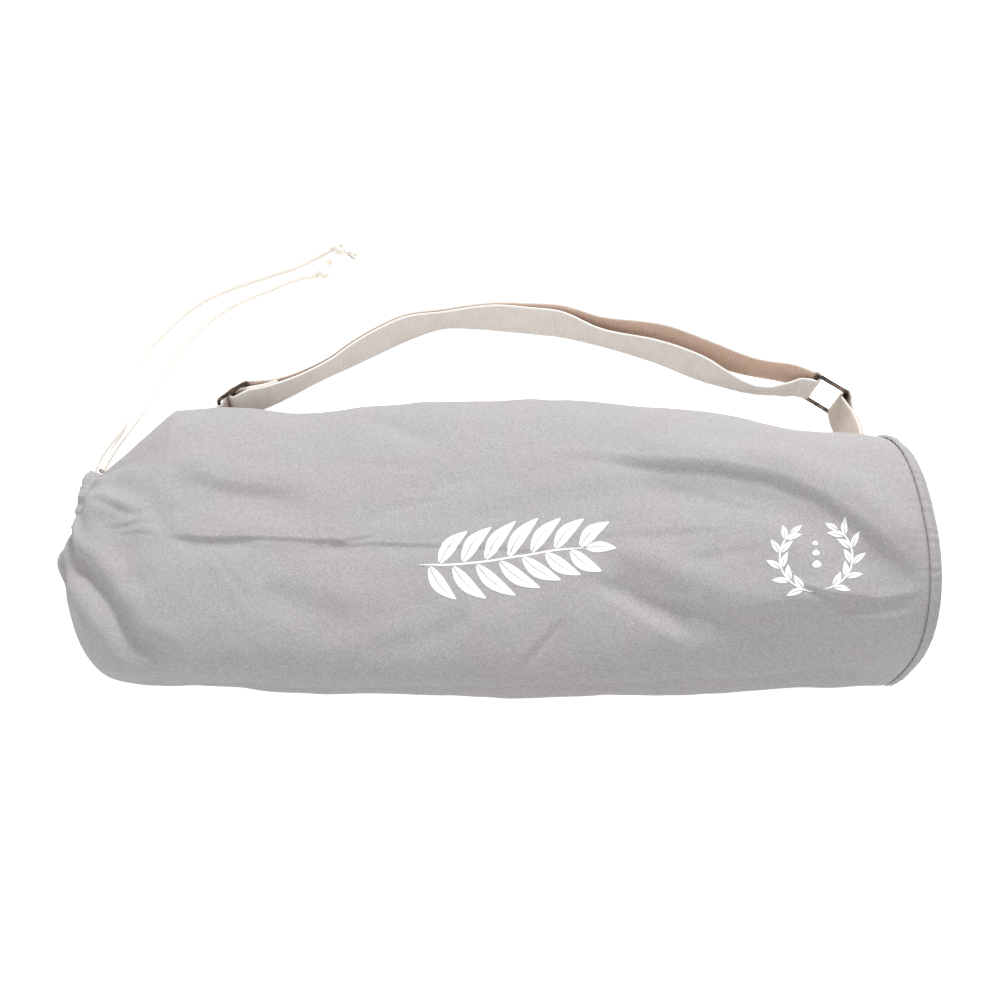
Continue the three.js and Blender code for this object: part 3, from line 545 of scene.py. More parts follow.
def metal_material(name):
    """Dark antique plating, rubbed to a warmer tone in places."""
    material, tree, shader = new_material(name, 0.34, 1.0)
    rub = noise(tree, 130.0, 4.0)
    colour = ramp(tree, rub, [(0.42, (0.055, 0.047, 0.043)), (0.66, (0.23, 0.15, 0.11))])
    tree.links.new(colour, shader.inputs["Base Color"])
    rough = add(tree, "ShaderNodeMapRange", {"Value": rub})
    rough.inputs["To Min"].default_value = 0.16
    rough.inputs["To Max"].default_value = 0.34
    tree.links.new(rough.outputs[0], shader.inputs["Roughness"])
    pits = noise(tree, 1500.0, 1.0)
    bump = add(tree, "ShaderNodeBump", {"Height": pits}, Strength=0.12, Distance=0.0002)
    tree.links.new(bump.outputs[0], shader.inputs["Normal"])
    return material


def print_material(name):
    """White screen print that lets the weave show through."""
    material, tree, shader = new_material(name, 0.7)
    fine = noise(tree, 820.0, 2.0)
    colour = ramp(tree, fine, [(0.3, (0.83, 0.83, 0.84)), (0.6, (0.93, 0.93, 0.94))])
    tree.links.new(colour, shader.inputs["Base Color"])
    bump = add(tree, "ShaderNodeBump", {"Height": fine}, Strength=0.3, Distance=0.0003)
    tree.links.new(bump.outputs[0], shader.inputs["Normal"])
    return material


CANVAS = canvas_material("grey_canvas", (0.43, 0.415, 0.417), (0.33, 0.318, 0.32))
WEBBING_FACE = webbing_material("webbing_face", (0.9, 0.85, 0.8), (0.74, 0.68, 0.62), (0.95, 0.93, 0.9))
# The strap loop's inner face: the same webbing painted darker and warmer, painted shade between its two
# layers
WEBBING_PAINTED_SHADE = webbing_material("webbing_inner_painted_shade", (0.84, 0.69, 0.59), (0.62, 0.47, 0.38), (0.92, 0.88, 0.83))
WEBBING_TAB = webbing_material("webbing_tab", (0.76, 0.67, 0.59), (0.46, 0.37, 0.3), (0.82, 0.77, 0.71))
COTTON = cord_material("cord_cotton")
THREAD = cord_material("sewing_thread")
GUNMETAL = metal_material("antique_gunmetal")
WHITE_PRINT = print_material("white_print")


# Camera, light and floor

FLOOR_REACH = 6.0
FLOOR_DROP = 0.0006  # keeps the floor clear of the cloth that lies on it
FLOOR_GLOW = 0.1
FLOOR_SEEN_GLOW = 0.5  # more glow in the picture alone, which doesn't light the bag
LIGHT_AIM = (0, 0, 0.03)


def make_camera():
    """The photograph's view: 62 degrees above the floor, square to the bag."""
    camera = bpy.data.objects.new("camera", bpy.data.cameras.new("camera"))
    bpy.context.scene.collection.objects.link(camera)
    camera.data.sensor_width = 36
    camera.data.lens = 67.92
    camera.location = place([0, -669.5, 1392.9])
    camera.rotation_euler = (math.radians(28), 0, 0)
    bpy.context.scene.camera = camera


def make_light(name, location, size, power):
    data = bpy.data.lights.new(name, "AREA")
    data.size = size
    data.energy = power
    light = bpy.data.objects.new(name, data)
    light.location = location
    light.rotation_euler = (Vector(LIGHT_AIM) - Vector(location)).to_track_quat("-Z", "Y").to_euler()
    bpy.context.scene.collection.objects.link(light)


def make_floor():
    mesh = bpy.data.meshes.new("floor")
    corners = [(x * FLOOR_REACH, y * FLOOR_REACH, 0) for x, y in ((-1, -1), (1, -1), (1, 1), (-1, 1))]
    mesh.from_pydata(corners, [], [(0, 1, 2, 3)])
    material, tree, shader = new_material("pale_floor", 0.85)
    shader.inputs["Base Color"].default_value = (0.94, 0.94, 0.94, 1)
    shader.inputs["Emission Color"].default_value = (1, 1, 1, 1)
    seen = tree.nodes.new("ShaderNodeLightPath")
    glow = tree.nodes.new("ShaderNodeMath")
    glow.operation = "MULTIPLY_ADD"
    glow.inputs[1].default_value = FLOOR_SEEN_GLOW
    glow.inputs[2].default_value = FLOOR_GLOW
    tree.links.new(seen.outputs["Is Camera Ray"], glow.inputs[0])
    tree.links.new(glow.outputs["Value"], shader.inputs["Emission Strength"])
    mesh.materials.append(material)
    floor = bpy.data.objects.new("floor", mesh)
    floor.location.z = -FLOOR_DROP
    bpy.context.scene.collection.objects.link(floor)


make_camera()
make_floor()
make_light("key", (0.4, 1.75, 1.7), 0.7, 52)
make_light("fill", (-0.3, -1.2, 2.0), 1.4, 19)
world = bpy.data.worlds.new("studio")
world.use_nodes = True
background = world.node_tree.nodes["Background"]
background.inputs[0].default_value = (1, 1, 1, 1)
background.inputs[1].default_value = 0.58
bpy.context.scene.world = world
bpy.context.scene.view_settings.view_transform = "Standard"


# Cords


def make_cord(name, route, knot):
    """A braided tail from the channel to its knot."""
    route = [np.array(p, float) for p in route]
    centre = np.array(knot[0], float)
    arrival = unit(centre - route[-1])
    path = catmull(route + [centre - arrival * (KNOT_RADIUS + GAP)], 150)
    length = line_length(path)
    rings = tube_rings(path, CORD_RADIUS * 0.97, 16)
    around = np.linspace(0, 2 * math.pi * CORD_RADIUS, 17) / 1000
    tail = mesh_from_rings(name, rings, COTTON, uv=(np.linspace(0, length, len(rings)) / 1000, around))
    return tail, path, length, arrival


def make_knot(name, knot, arrival):
    """An overhand knot: the cord comes in, goes once round itself and leaves at the tip."""
    centre = np.array(knot[0], float)
    tip = unit([*knot[1], -0.3])
    side = unit(np.cross(arrival, [0, 0, 1.0]))
    up = np.cross(side, arrival)
    turn = KNOT_RADIUS - CORD_RADIUS
    path = [centre - arrival * (KNOT_RADIUS - 0.2), centre - arrival * 3.5 + side * 1.0]
    for share in np.linspace(0, 1, 12):
        angle = share * 2.35 * math.pi - 0.9
        drift = mix(-2.1, 2.1, share)
        path.append(centre + arrival * drift + turn * (math.cos(angle) * side + math.sin(angle) * up) * 0.92)
    path += [centre + tip * 3.5, centre + tip * 9]
    line = catmull(path, 90)
    rings = tube_rings(line, CORD_RADIUS * 0.9, 14)
    around = np.linspace(0, 2 * math.pi * CORD_RADIUS, 15) / 1000
    along = np.linspace(0, line_length(line), len(rings)) / 1000
    return mesh_from_rings(name, rings, COTTON, uv=(along, around))


def frayed_end(name, knot):
    """Loose strands at the tip of a cord."""
    centre = np.array(knot[0], float)
    tip = unit([*knot[1], -0.3])
    side = unit(np.cross(tip, [0, 0, 1.0]))
    up = np.cross(side, tip)
    shapes = []
    for _ in range(26):
        angle = rng.uniform(0, 2 * math.pi)
        spread = rng.uniform(0.2, 1.0)
        out = math.cos(angle) * side + math.sin(angle) * up
        root = centre + tip * 8 + out * CORD_RADIUS * 0.75 * spread
        end = centre + tip * rng.uniform(16, 19) + out * CORD_RADIUS * (0.9 * spread + 0.25)
        end[2] = max(end[2], 0.5)
        bend = (root + end) / 2 + out * rng.uniform(-0.4, 0.7)
        line = catmull([root, bend, end], 6)
        shapes.append(closed_shape(tube_rings(line, np.linspace(0.42, 0.2, len(line)), 6)))
    return join_shapes(name, shapes, THREAD)


for label, route, knot in (("far", FAR_CORD, FAR_KNOT), ("near", NEAR_CORD, NEAR_KNOT)):
    tail, tail_path, tail_length, arrival = make_cord(f"tail_{label}", route, knot)
    bow = make_knot(f"knot_{label}", knot, arrival)
    fray = frayed_end(f"frayed_tip_{label}", knot)
    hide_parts(f"cord_tail_{label}")
    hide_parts(f"cord_knot_{label}")
    for piece in (tail, bow, fray):
        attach(piece, "root")


# The bag's cloth


def turn_shares(count):
    """Shares round a section, closer together on the upper and near sides."""
    fine = np.linspace(0, 1, 2001)
    crowding, phase = 0.72, 2 * math.pi * 0.07
    total = fine + crowding * (math.cos(phase) - np.cos(2 * math.pi * fine - phase)) / (2 * math.pi)
    return np.interp(np.linspace(0, 1, count, endpoint=False), total, fine)


def sections_at(alongs, turns):
    """Cross-sections as (ring, point, YZ), evenly spaced by length before turns picks from them."""
    angle = np.linspace(0, 2 * math.pi, 721)
    c, s = np.cos(angle), np.sin(angle)
    power = np.where(s >= 0, 2 / TOP_ROUNDNESS, 2 / FOOT_ROUNDNESS)
    result = []
    for along in alongs:
        centre = read_table(SECTIONS, "along", "centre", along) * BAG_HALF_WIDTH
        half_width = read_table(SECTIONS, "along", "half_width", along) * BAG_HALF_WIDTH
        height = read_table(SECTIONS, "along", "height", along) * BAG_HEIGHT
        waist = height * WAIST_SHARE
        rise = np.where(s >= 0, height - waist, -waist * FOOT_SQUASH)
        y = centre + half_width * np.sign(c) * np.abs(c) ** power
        z = np.maximum(0, waist + rise * np.abs(s) ** power)
        result.append(along_line(np.stack([y, z], axis=1), turns))
    return np.array(result)


def base_shift(y, z, along):
    """How far the leaning, turned base carries the cloth along the bag."""
    waist = SECTIONS["height"][0] * BAG_HEIGHT * 0.5
    centre = SECTIONS["centre"][0] * BAG_HALF_WIDTH
    hold = 1 - smooth(along, 0, 0.35)
    return hold * (BASE_LEAN * (z - waist) + BASE_TURN * (y - centre))


MOUTH_ACROSS = np.array([math.sin(MOUTH_TURN), math.cos(MOUTH_TURN), 0])
MOUTH_OUT = np.array([-math.cos(MOUTH_TURN), math.sin(MOUTH_TURN), 0])


def gather_at(turn):
    """The pleats round the mouth, pulled nearly flat where the hem lies open at the top."""
    calm = smooth(turn, -0.05, 0.05) * (1 - smooth(turn, 0.27, 0.33)) + smooth(turn, 0.95, 1.05)
    return GATHER_DEPTH * (1 - 0.75 * calm) * np.cos(GATHER_COUNT * 2 * math.pi * turn)


def mouth_point(turn, outside, out):
    """Points round the mouth, outside its rim and along the way out of it."""
    angle = np.asarray(turn) * 2 * math.pi
    swell = outside + gather_at(turn)
    return (MOUTH_CENTRE
            + MOUTH_ACROSS * ((MOUTH_HALF_WIDTH + swell) * np.cos(angle))[..., None]
            + np.array([0, 0, 1]) * ((MOUTH_HALF_HEIGHT + swell) * np.sin(angle))[..., None]
            + MOUTH_OUT * np.asarray(out)[..., None])


def cap_lines(start, turns, count):
    """The cloth drawn in from the last full section to the mouth's rim."""
    nearness = 0.5 - 0.5 * np.cos(turns * 2 * math.pi)
    boxiness = mix(1.05, 3.3, smooth(nearness, 0.15, 0.9))
    share = np.linspace(0, 1, 121)[:, None]
    forward = np.sin(share * math.pi / 2) ** (2 / boxiness)
    inward = 1 - np.cos(share * math.pi / 2) ** (2 / boxiness)
    rim = mouth_point(turns, 0 * turns, 0 * turns)
    flap = FLAP_REACH * smooth(nearness, 0.4, 1) * np.sin(math.pi * inward ** 2.4)
    lip = smooth(turns, 0.41, 0.46) * (1 - smooth(turns, 0.58, 0.75))
    flap = flap + FLAP_LIP * lip * smooth(inward, 0.66, 0.9) * (1 - smooth(inward, 0.945, 0.995))
    x = mix(start[:, 0], rim[:, 0], forward) - flap
    y = mix(start[:, 1], rim[:, 1], inward)
    z = np.maximum(0, mix(start[:, 2], rim[:, 2], inward))
    fine = np.stack([x, y, z], axis=2)
    shares = np.linspace(0, 1, count + 1)[1:]
    return np.stack([along_line(fine[:, k], shares) for k in range(len(turns))], axis=1)


def smooth_cloth(turns):
    """The cloth without its folds, from the base seam to the mouth's rim."""
    alongs = np.linspace(0, CAP_START, TUBE_RINGS + 1)
    yz = sections_at(alongs, turns)
    x = BASE_X - alongs[:, None] * BAG_LENGTH + base_shift(yz[..., 0], yz[..., 1], alongs[:, None])
    tube = np.concatenate([x[..., None], yz], axis=2)
    return np.concatenate([tube, cap_lines(tube[-1], turns, CAP_RINGS)])


def ring_normals(rings):
    before = np.concatenate([rings[:1], rings[:-1]])
    after = np.concatenate([rings[1:], rings[-1:]])
    around = np.roll(rings, -1, axis=1) - np.roll(rings, 1, axis=1)
    return unit(np.cross(after - before, around))


def fold_height(x, y, table):
    """Height that a table of folds adds at places seen from above."""
    height = np.zeros_like(x)
    for _, width, left, middle, right, sharp, path in table:
        line = np.array([[BASE_X - a * BAG_LENGTH, b * BAG_HALF_WIDTH] for a, b in path])
        best = np.full(x.shape, np.inf)
        side = np.zeros_like(x)
        share = np.zeros_like(x)
        for i in range(len(line) - 1):
            a, d = line[i], line[i + 1] - line[i]
            t = np.clip(((x - a[0]) * d[0] + (y - a[1]) * d[1]) / (d @ d), 0, 1)
            ox, oy = x - a[0] - t * d[0], y - a[1] - t * d[1]
            distance = np.hypot(ox, oy)
            nearer = distance < best
            best = np.where(nearer, distance, best)
            side = np.where(nearer, np.sign(d[0] * oy - d[1] * ox), side)
            share = np.where(nearer, (i + t) / (len(line) - 1), share)
        offset = side * best / width
        fade = smooth(share, 0, 0.2) * (1 - smooth(share, 0.8, 1))
        power = 2 - sharp
        bell = [np.exp(-np.abs(offset + m) ** power) for m in (-1, 0, 1)]
        height += fade * (left * bell[0] + middle * bell[1] + right * bell[2])
    return height


LIP_DIRECTION = np.array([0.883, 0.469])  # YZ direction along which the lip's band is measured
LIP_BAND = ([-217, 65, 163, 260], [5.0, 13.5, 17.5, 19.0])  # the band's width at places along the bag


def near_lip(rings, normals):
    """The fold along the near side: a crisp edge on the upper slope and a groove below it."""
    x = rings[..., 0]
    near = smooth(-normals[..., 1], 0.2, 0.6) * smooth(x, -290, -200) * (1 - smooth(x, 262, 300))
    slope = rings[..., 1:] @ LIP_DIRECTION
    band = np.interp(x, *LIP_BAND)
    level = slope.min(axis=1, keepdims=True) + band + 0.6 * np.sin(x / 41 + 0.7) + 0.4 * np.sin(x / 17)
    above, below = np.maximum(slope - level, 0), np.maximum(level - slope, 0)
    edge = 0.11 * band * np.exp(-(above / 7) ** 2) * np.exp(-(below / 1.6) ** 2)
    groove = -0.3 * band * np.exp(-np.abs((below / band - 0.4) / 0.26) ** 2.5)
    return near * (edge + groove)


def undulation(x, around):
    """The cloth's slight unevenness: seeded waves of many lengths and directions."""
    total = np.zeros_like(x)
    for _ in range(26):
        length = rng.uniform(16, 95)
        angle = rng.uniform(0, math.pi)
        phase = rng.uniform(0, 2 * math.pi)
        wave = np.sin((x * math.cos(angle) + around * math.sin(angle)) * 2 * math.pi / length + phase)
        total += wave * length * 0.0022
    return total


def seam_pucker(turns):
    """The base seam's uneven puckers, from -1 to 1."""
    return np.sin(turns * 440 + 1.4 * np.sin(turns * 40)) * np.sin(turns * 67 + 1) ** 2


def folded_cloth(rings, turns):
    """The cloth with its folds, creases, gathers and the rolled base seam."""
    count = len(rings)
    normals = ring_normals(rings)
    facing_up = smooth(normals[..., 2], -0.1, 0.4)
    x, y = rings[..., 0], rings[..., 1]
    around = np.broadcast_to(turns * 600, x.shape)
    share = np.linspace(0, 1, count)[:, None]
    drawn = smooth(share, TUBE_RINGS / (count - 1), 1)
    gather = gather_at(turns)[None, :]
    inside = (np.arange(count) < count - 1)[:, None]
    from_seam = BASE_X + base_shift(y, rings[..., 2], 0) - x
    seam = 1 - smooth(from_seam, 0, 14)
    roll = -SEAM_ROLL * (1 - smooth(from_seam, 0, 3.2))
    pucker = PUCKER * seam_pucker(turns)[None, :] * seam
    offset = facing_up * (fold_height(x, y, FOLDS) + fold_height(x, y, CREASES)) + undulation(x, around)
    offset += near_lip(rings, normals)
    offset = offset * inside * (1 - 0.85 * seam) + pucker + roll
    ripple = drawn ** 2 * gather * inside
    cloth = rings + normals * (offset + ripple)[..., None]
    cloth[..., 2] = np.maximum(cloth[..., 2], 0)
    return cloth


def make_bag_body():
    """The bag's cloth as one closed shell, and its outer rings."""
    turns = turn_shares(AROUND)
    cloth = folded_cloth(smooth_cloth(turns), turns)
    normals = ring_normals(cloth)
    deeper = INNER_DEPTH * (1 - smooth(np.linspace(0, 1, len(cloth)), 0.78, 0.95))[:, None, None]
    picks = np.unique(np.linspace(0, len(cloth) - 1, INNER_RINGS).round().astype(int))
    inner = (cloth - normals * (CANVAS_WALL + deeper))[picks]
    past = np.maximum(0, (inner[-1] - MOUTH_CENTRE) @ MOUTH_OUT)
    inner[-1] -= MOUTH_OUT * past[:, None]
    inner[0, :, 0] = np.minimum(inner[0, :, 0], BASE_X + base_shift(inner[0, :, 1], inner[0, :, 2], 0))
    rings = np.concatenate([cloth, inner[::-1]])
    step = np.linalg.norm(np.diff(rings[:, AROUND // 5], axis=0), axis=1)
    along = np.concatenate([[0], np.cumsum(step), [step.sum() + CANVAS_WALL]]) / 1000
    around = np.append(turns, 1.0) * 0.6
    body = mesh_from_rings("canvas_body", rings, CANVAS, looped=True, uv=(along, around))
    return body, cloth


body, cloth = make_bag_body()
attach(body, "root")
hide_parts("bag_body")


# The base


RIM_STAND = 3.2  # how far the rim stands out on its far upper side
RIM_PROFILE = [(0.3, -1.6), (0.8, -0.7), (1.6, 0.0), (2.6, 0.4), (3.8, 0.4), (4.9, 0.0), (5.7, -0.9)]


def make_base():
    """The round base: a rolled rim at the seam, puckered by its stitches, and a soft bulge."""
    rim = cloth[0] + ring_normals(cloth)[0] * SEAM_ROLL
    centre = rim.mean(axis=0)
    outward = unit(rim - centre)
    turns = turn_shares(AROUND)
    pucker = PUCKER * seam_pucker(turns)
    stand = RIM_STAND * sum(np.exp(-((turns - at) / 0.06) ** 2) for at in (0.03, 1.03))

    def plate(inward, lift, out, puckered):
        at = rim + (centre - rim) * inward + outward * (out + (pucker + stand) * puckered)[:, None]
        at[:, 0] = BASE_X + base_shift(at[:, 1], at[:, 2], 0) + lift
        at[:, 2] = np.maximum(at[:, 2], 0)
        return at

    inner_rise = BASE_BULGE + BASE_RIM - CANVAS_WALL
    rings = []
    for inward in np.linspace(0.97, 0.02, 9):
        rings.append(plate(inward, GAP + inner_rise * math.sqrt(1 - (1 - inward) ** 4), 0, 0))
    for lift, out in RIM_PROFILE:
        rings.append(plate(0, lift, out, 1))
    for share in np.linspace(0.1, 0.995, 34):
        inward = share ** 1.6
        bulge = BASE_BULGE * math.sqrt(1 - (1 - inward) ** 4)
        rings.append(plate(inward, GAP + BASE_RIM + bulge, -1.6 * (1 - inward), math.exp(-30 * inward)))
    along = np.arange(len(rings)) * 0.0025
    return mesh_from_rings("base", rings, CANVAS, uv=(along, np.append(turns, 1.0) * 0.5))


base = make_base()
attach(base, "root")
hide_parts("base_panel")


# The drawstring's channel

CHANNEL_PROFILE = [[-0.1, 0], [0, 0.3], [0.02, 0.6], [-0.2, 0.9], [-0.5, 1], [-0.85, 0.85], [-1, 0.1]]
CHANNEL_REACH = {
    "turn": [0, 0.1, 0.2, 0.29, 0.36, 0.42, 0.47, 0.55, 0.75, 1.0],
    "reach": [13, 13.5, 10, 7.5, 6, 7, 4.5, 6, 10, 13],
    "sink": [0, 0, 0, 0.6, 1.6, 0.8, 3.5, 2.5, 0, 0],
}


def make_channel():
    """The gathered hem round the mouth: open and flat at the top, rolled in towards the flap."""
    profile = catmull(CHANNEL_PROFILE, 22)
    steps = 480
    turns = np.arange(steps) / steps
    angle = turns * 2 * math.pi
    crumple = 0.5 * np.sin(19 * angle + 1.2 * np.sin(5 * angle)) + 0.3 * np.sin(41 * angle + 2)
    reach = read_table(CHANNEL_REACH, "turn", "reach", turns)
    sink = read_table(CHANNEL_REACH, "turn", "sink", turns)
    rings = []
    for thick, out in profile:
        loose = smooth(out, 0.0, 0.5)
        amount = loose * (0.3 if thick < -0.6 else 0.7)
        outside = thick * CHANNEL_THICKNESS + crumple * amount - 0.35 - sink * out
        rings.append(mouth_point(turns, outside, GAP + out * reach + 0.3 * crumple * loose))
    rings = np.array(rings).transpose(1, 0, 2)
    along = np.linspace(0, 0.19, steps + 1)
    around = np.linspace(0, 0.024, len(profile) + 1)
    return mesh_from_rings("channel", rings, CANVAS, looped=True, uv=(along, around))


channel = make_channel()
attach(channel, "root")
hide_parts("drawstring_channel")


# Metal frames

BAR_SPREAD = FRAME_WIDTH / 2 - WIRE_RADIUS
ring_rise = ((FRAME_HEIGHT / 2 - FRAME_CORNER) * math.cos(RING_ROLL)
             + (FRAME_WIDTH / 2 - FRAME_CORNER) * math.sin(RING_ROLL))
RING_CENTRE = np.array([RING_X, RING_Y, FRAME_CORNER + ring_rise])
SLIDER_FACING = Euler((0, 0, SLIDER_TURN)).to_matrix()
SLIDER_CENTRE = np.array([SLIDER_X, SLIDER_Y, FRAME_HEIGHT / 2])


def posed(points, facing, centre):
    """Points of a frame's own XZ plane, turned and set down in the part's space."""
    return np.asarray(points, float) @ np.array(facing).T + centre


def frame_path():
    """The middle of the wire: a rectangle with rounded corners, round the frame's middle."""
    bend = FRAME_CORNER - WIRE_RADIUS
    wide, high = BAR_SPREAD - bend, FRAME_HEIGHT / 2 - WIRE_RADIUS - bend
    points = []
    for quarter, (side, top) in enumerate(((1, 1), (-1, 1), (-1, -1), (1, -1))):
        for i in range(9):
            angle = (quarter + i / 8) * math.pi / 2
            points.append([side * wide + bend * math.cos(angle), 0, top * high + bend * math.sin(angle)])
    points.append(points[0])
    return along_line(points, np.linspace(0, 1, 161))[:-1]


def make_wire_frame(name, facing, centre, bars):
    """A wire frame, with straight bars as (from, to, radius) joined to it."""
    rings = tube_rings(posed(frame_path(), facing, centre), WIRE_RADIUS, 20, closed=True)
    pieces = [mesh_from_rings(name, rings, GUNMETAL, looped=True)]
    for start, end, radius in bars:
        path = posed(np.linspace(start, end, 24), facing, centre)
        pieces.append(mesh_from_rings(f"{name}_bar", tube_rings(path, radius, 20), GUNMETAL))
    return join_objects(pieces)


def join_objects(pieces):
    with bpy.context.temp_override(active_object=pieces[0], selected_editable_objects=pieces):
        bpy.ops.object.join()
    return pieces[0]


inner_half = FRAME_HEIGHT / 2 - WIRE_RADIUS
slider_bars = [([0, 0, -inner_half], [0, 0, inner_half], WIRE_RADIUS)]
for end in (-1, 1):
    slider_bars.append(([-2.4, 0, end * inner_half], [2.4, 0, end * inner_half], WIRE_RADIUS + 0.35))
ring = make_wire_frame("ring", RING_POSE, RING_CENTRE, [])
slider = make_wire_frame("slider", SLIDER_FACING, SLIDER_CENTRE, slider_bars)
for piece, node in ((ring, "strap_ring"), (slider, "strap_slider")):
    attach(piece, "root")
    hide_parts(node)


# Webbing

BAR_OFFSET = WIRE_RADIUS + 1.4 * GAP + WEBBING_THICKNESS / 2
RING_OFFSET = BAR_OFFSET + 0.4
LAYER_STEP = WEBBING_THICKNESS + LAYER_GAP
EDGE_UP = WIRE_RADIUS * 2 + BAR_PLAY + WEBBING_WIDTH / 2
EDGE_FLOOR = WEBBING_WIDTH / 2 + 0.05
RING_WRAP = 0.35 * math.pi  # half the angle of webbing round the ring's bar
UPRIGHT = np.array([0, 0, 1.0])
RING_UP = np.array(RING_POSE) @ UPRIGHT


def at_slider(along, behind=0.0):
    point = posed([along, behind, 0], SLIDER_FACING, SLIDER_CENTRE)
    point[2] = EDGE_UP
    return point


def at_ring(along):
    return posed([along, 0, 0], RING_POSE, RING_CENTRE)


def besides(point, forward, distance):
    """Points moved level to the left of a direction."""
    left = np.stack([-forward[..., 1], forward[..., 0], 0 * forward[..., 0]], axis=-1)
    return point + unit(left) * np.asarray(distance)[..., None]


def round_bar(bar, distance, start, end, steps, up=UPRIGHT):
    angle = np.linspace(start, end, steps)
    at = bar + distance * np.stack([np.cos(angle), np.sin(angle), 0 * angle], axis=1)
    return at, np.broadcast_to(up, at.shape)


def strap_middle(span):
    """Middle of the strap's two layers between slider and ring, with its direction."""
    start = at_slider(BAR_SPREAD, -LAYER_STEP / 2)
    chord = at_ring(-BAR_SPREAD) * [1, 1, 0] + [0, 0, EDGE_UP] - start

    def at(share):
        share = np.clip(share, 0, 1)
        bow = STRAP_BOW * read_table(STRAP_RUN, "span", "bow", share)
        return besides(start + chord * share[:, None], np.broadcast_to(chord, (len(share), 3)), bow)

    return at(span), unit(at(span + 0.005) - at(span - 0.005))


def strap_layer(side, inset=0, until=1.0, steps=48):
    """One layer of the strap from the slider towards the ring, as points and their up directions."""
    span = np.linspace(0, until, steps + 1)
    point, forward = strap_middle(span)
    opened = np.maximum(STRAP_SPLIT * read_table(STRAP_RUN, "span", "split", span), LAYER_STEP / 2)
    split = mix(BAR_OFFSET + LAYER_STEP / 2, opened, smooth(span, 0, 0.05))
    split = mix(split, RING_OFFSET, smooth(span, 0.975, 1))
    height = mix(EDGE_UP, EDGE_FLOOR, smooth(span, 0, 0.12))
    height = mix(height, at_ring(-BAR_SPREAD)[2], smooth(span, 0.87, 1))
    lean = read_table(STRAP_RUN, "span", "lean", span)
    if side > 0:
        lean = lean * (1 - 0.6 * smooth(span, 0.5, 0.7))
    up = np.stack([forward[:, 1] * np.sin(lean), -forward[:, 0] * np.sin(lean), np.cos(lean)], axis=1)
    at = besides(point, forward, side * (split - inset * LAYER_STEP))
    at[:, 2] = height
    return at, unit(mix(up, RING_UP, smooth(span, 0.93, 0.99)[:, None]))


def far_side(x, out):
    """The far side of the cloth at its widest level, and a step out from it."""
    line = cloth[:, 0][::-1]
    at = np.array([x, *(np.interp(x, line[:, 0], line[:, j]) for j in (1, 2))])
    ahead = np.array([x + 8, *(np.interp(x + 8, line[:, 0], line[:, j]) for j in (1, 2))])
    return besides(at, ahead - at, out)


def strap_stations():
    """The whole strap: sewn end, slider, front layer, ring, back layer, slider and anchor."""
    local = [SLIDER_TURN + math.radians(a) for a in (66, 258, 80, 127, 307, 262)]
    middle_bar, ring_bar = at_slider(0), at_ring(-BAR_SPREAD)
    span = np.linalg.norm(ring_bar - at_slider(BAR_SPREAD))
    heading = strap_middle(np.array([1.0]))[1][0]
    ring_angle = math.atan2(heading[1], heading[0])
    folded = strap_layer(-1, 1, (FOLDED_END - BAR_SPREAD) / span, 3)
    back = strap_layer(1)
    anchor = []
    for share in (0, 0.33, 0.67, 1):
        x = SLIDER_X - BAR_SPREAD - BAR_OFFSET - share * ANCHOR_LENGTH
        at = far_side(x, GAP + WEBBING_THICKNESS / 2 + 0.4)
        at[2] = mix(EDGE_UP, ANCHOR_HEIGHT, smooth(share, 0, 0.6))
        anchor.append(at)
    runs = [
        (folded[0][::-1], folded[1][::-1]),
        round_bar(middle_bar, BAR_OFFSET, local[0], local[1], 7),
        strap_layer(-1),
        round_bar(ring_bar, RING_OFFSET, ring_angle - RING_WRAP, ring_angle + RING_WRAP, 5, RING_UP),
        (back[0][::-1], back[1][::-1]),
        round_bar(middle_bar, BAR_OFFSET + LAYER_STEP, local[2], local[3], 4),
        round_bar(at_slider(-BAR_SPREAD), BAR_OFFSET, local[4], local[5], 4),
        (np.array(anchor), np.broadcast_to(UPRIGHT, (4, 3))),
    ]
    return np.concatenate([r[0] for r in runs]), np.concatenate([r[1] for r in runs])


def tab_stations():
    """The doubled tab: from the bag round the ring's bar and back."""
    bar = at_ring(BAR_SPREAD)
    start = far_side(bar[0] - TAB_DRIFT, TAB_OUT) * [1, 1, 0] + [0, 0, TAB_HEIGHT]
    share = np.array([0, 0.2, 0.4, 0.6, 0.78, 0.9])
    point = mix(start, bar, share[:, None])
    point[:, 2] = mix(TAB_HEIGHT, bar[2], smooth(share, 0, 1))
    up = unit(mix(unit([TAB_LEAN, 0, 1]), RING_UP, smooth(share, 0, 0.8)[:, None]))
    forward = np.gradient(point, axis=0)
    offset = mix(LAYER_STEP / 2, RING_OFFSET, smooth(np.arange(6) / 5, 0.6, 1))
    heading = bar - point[-1]
    angle = math.atan2(heading[1], heading[0])
    turn = round_bar(bar, RING_OFFSET, angle - math.pi / 2, angle + math.pi / 2, 7, RING_UP)
    near, far = besides(point, forward, -offset), besides(point, forward, offset)
    return np.concatenate([near, turn[0], far[::-1]]), np.concatenate([up, turn[1], up[::-1]])


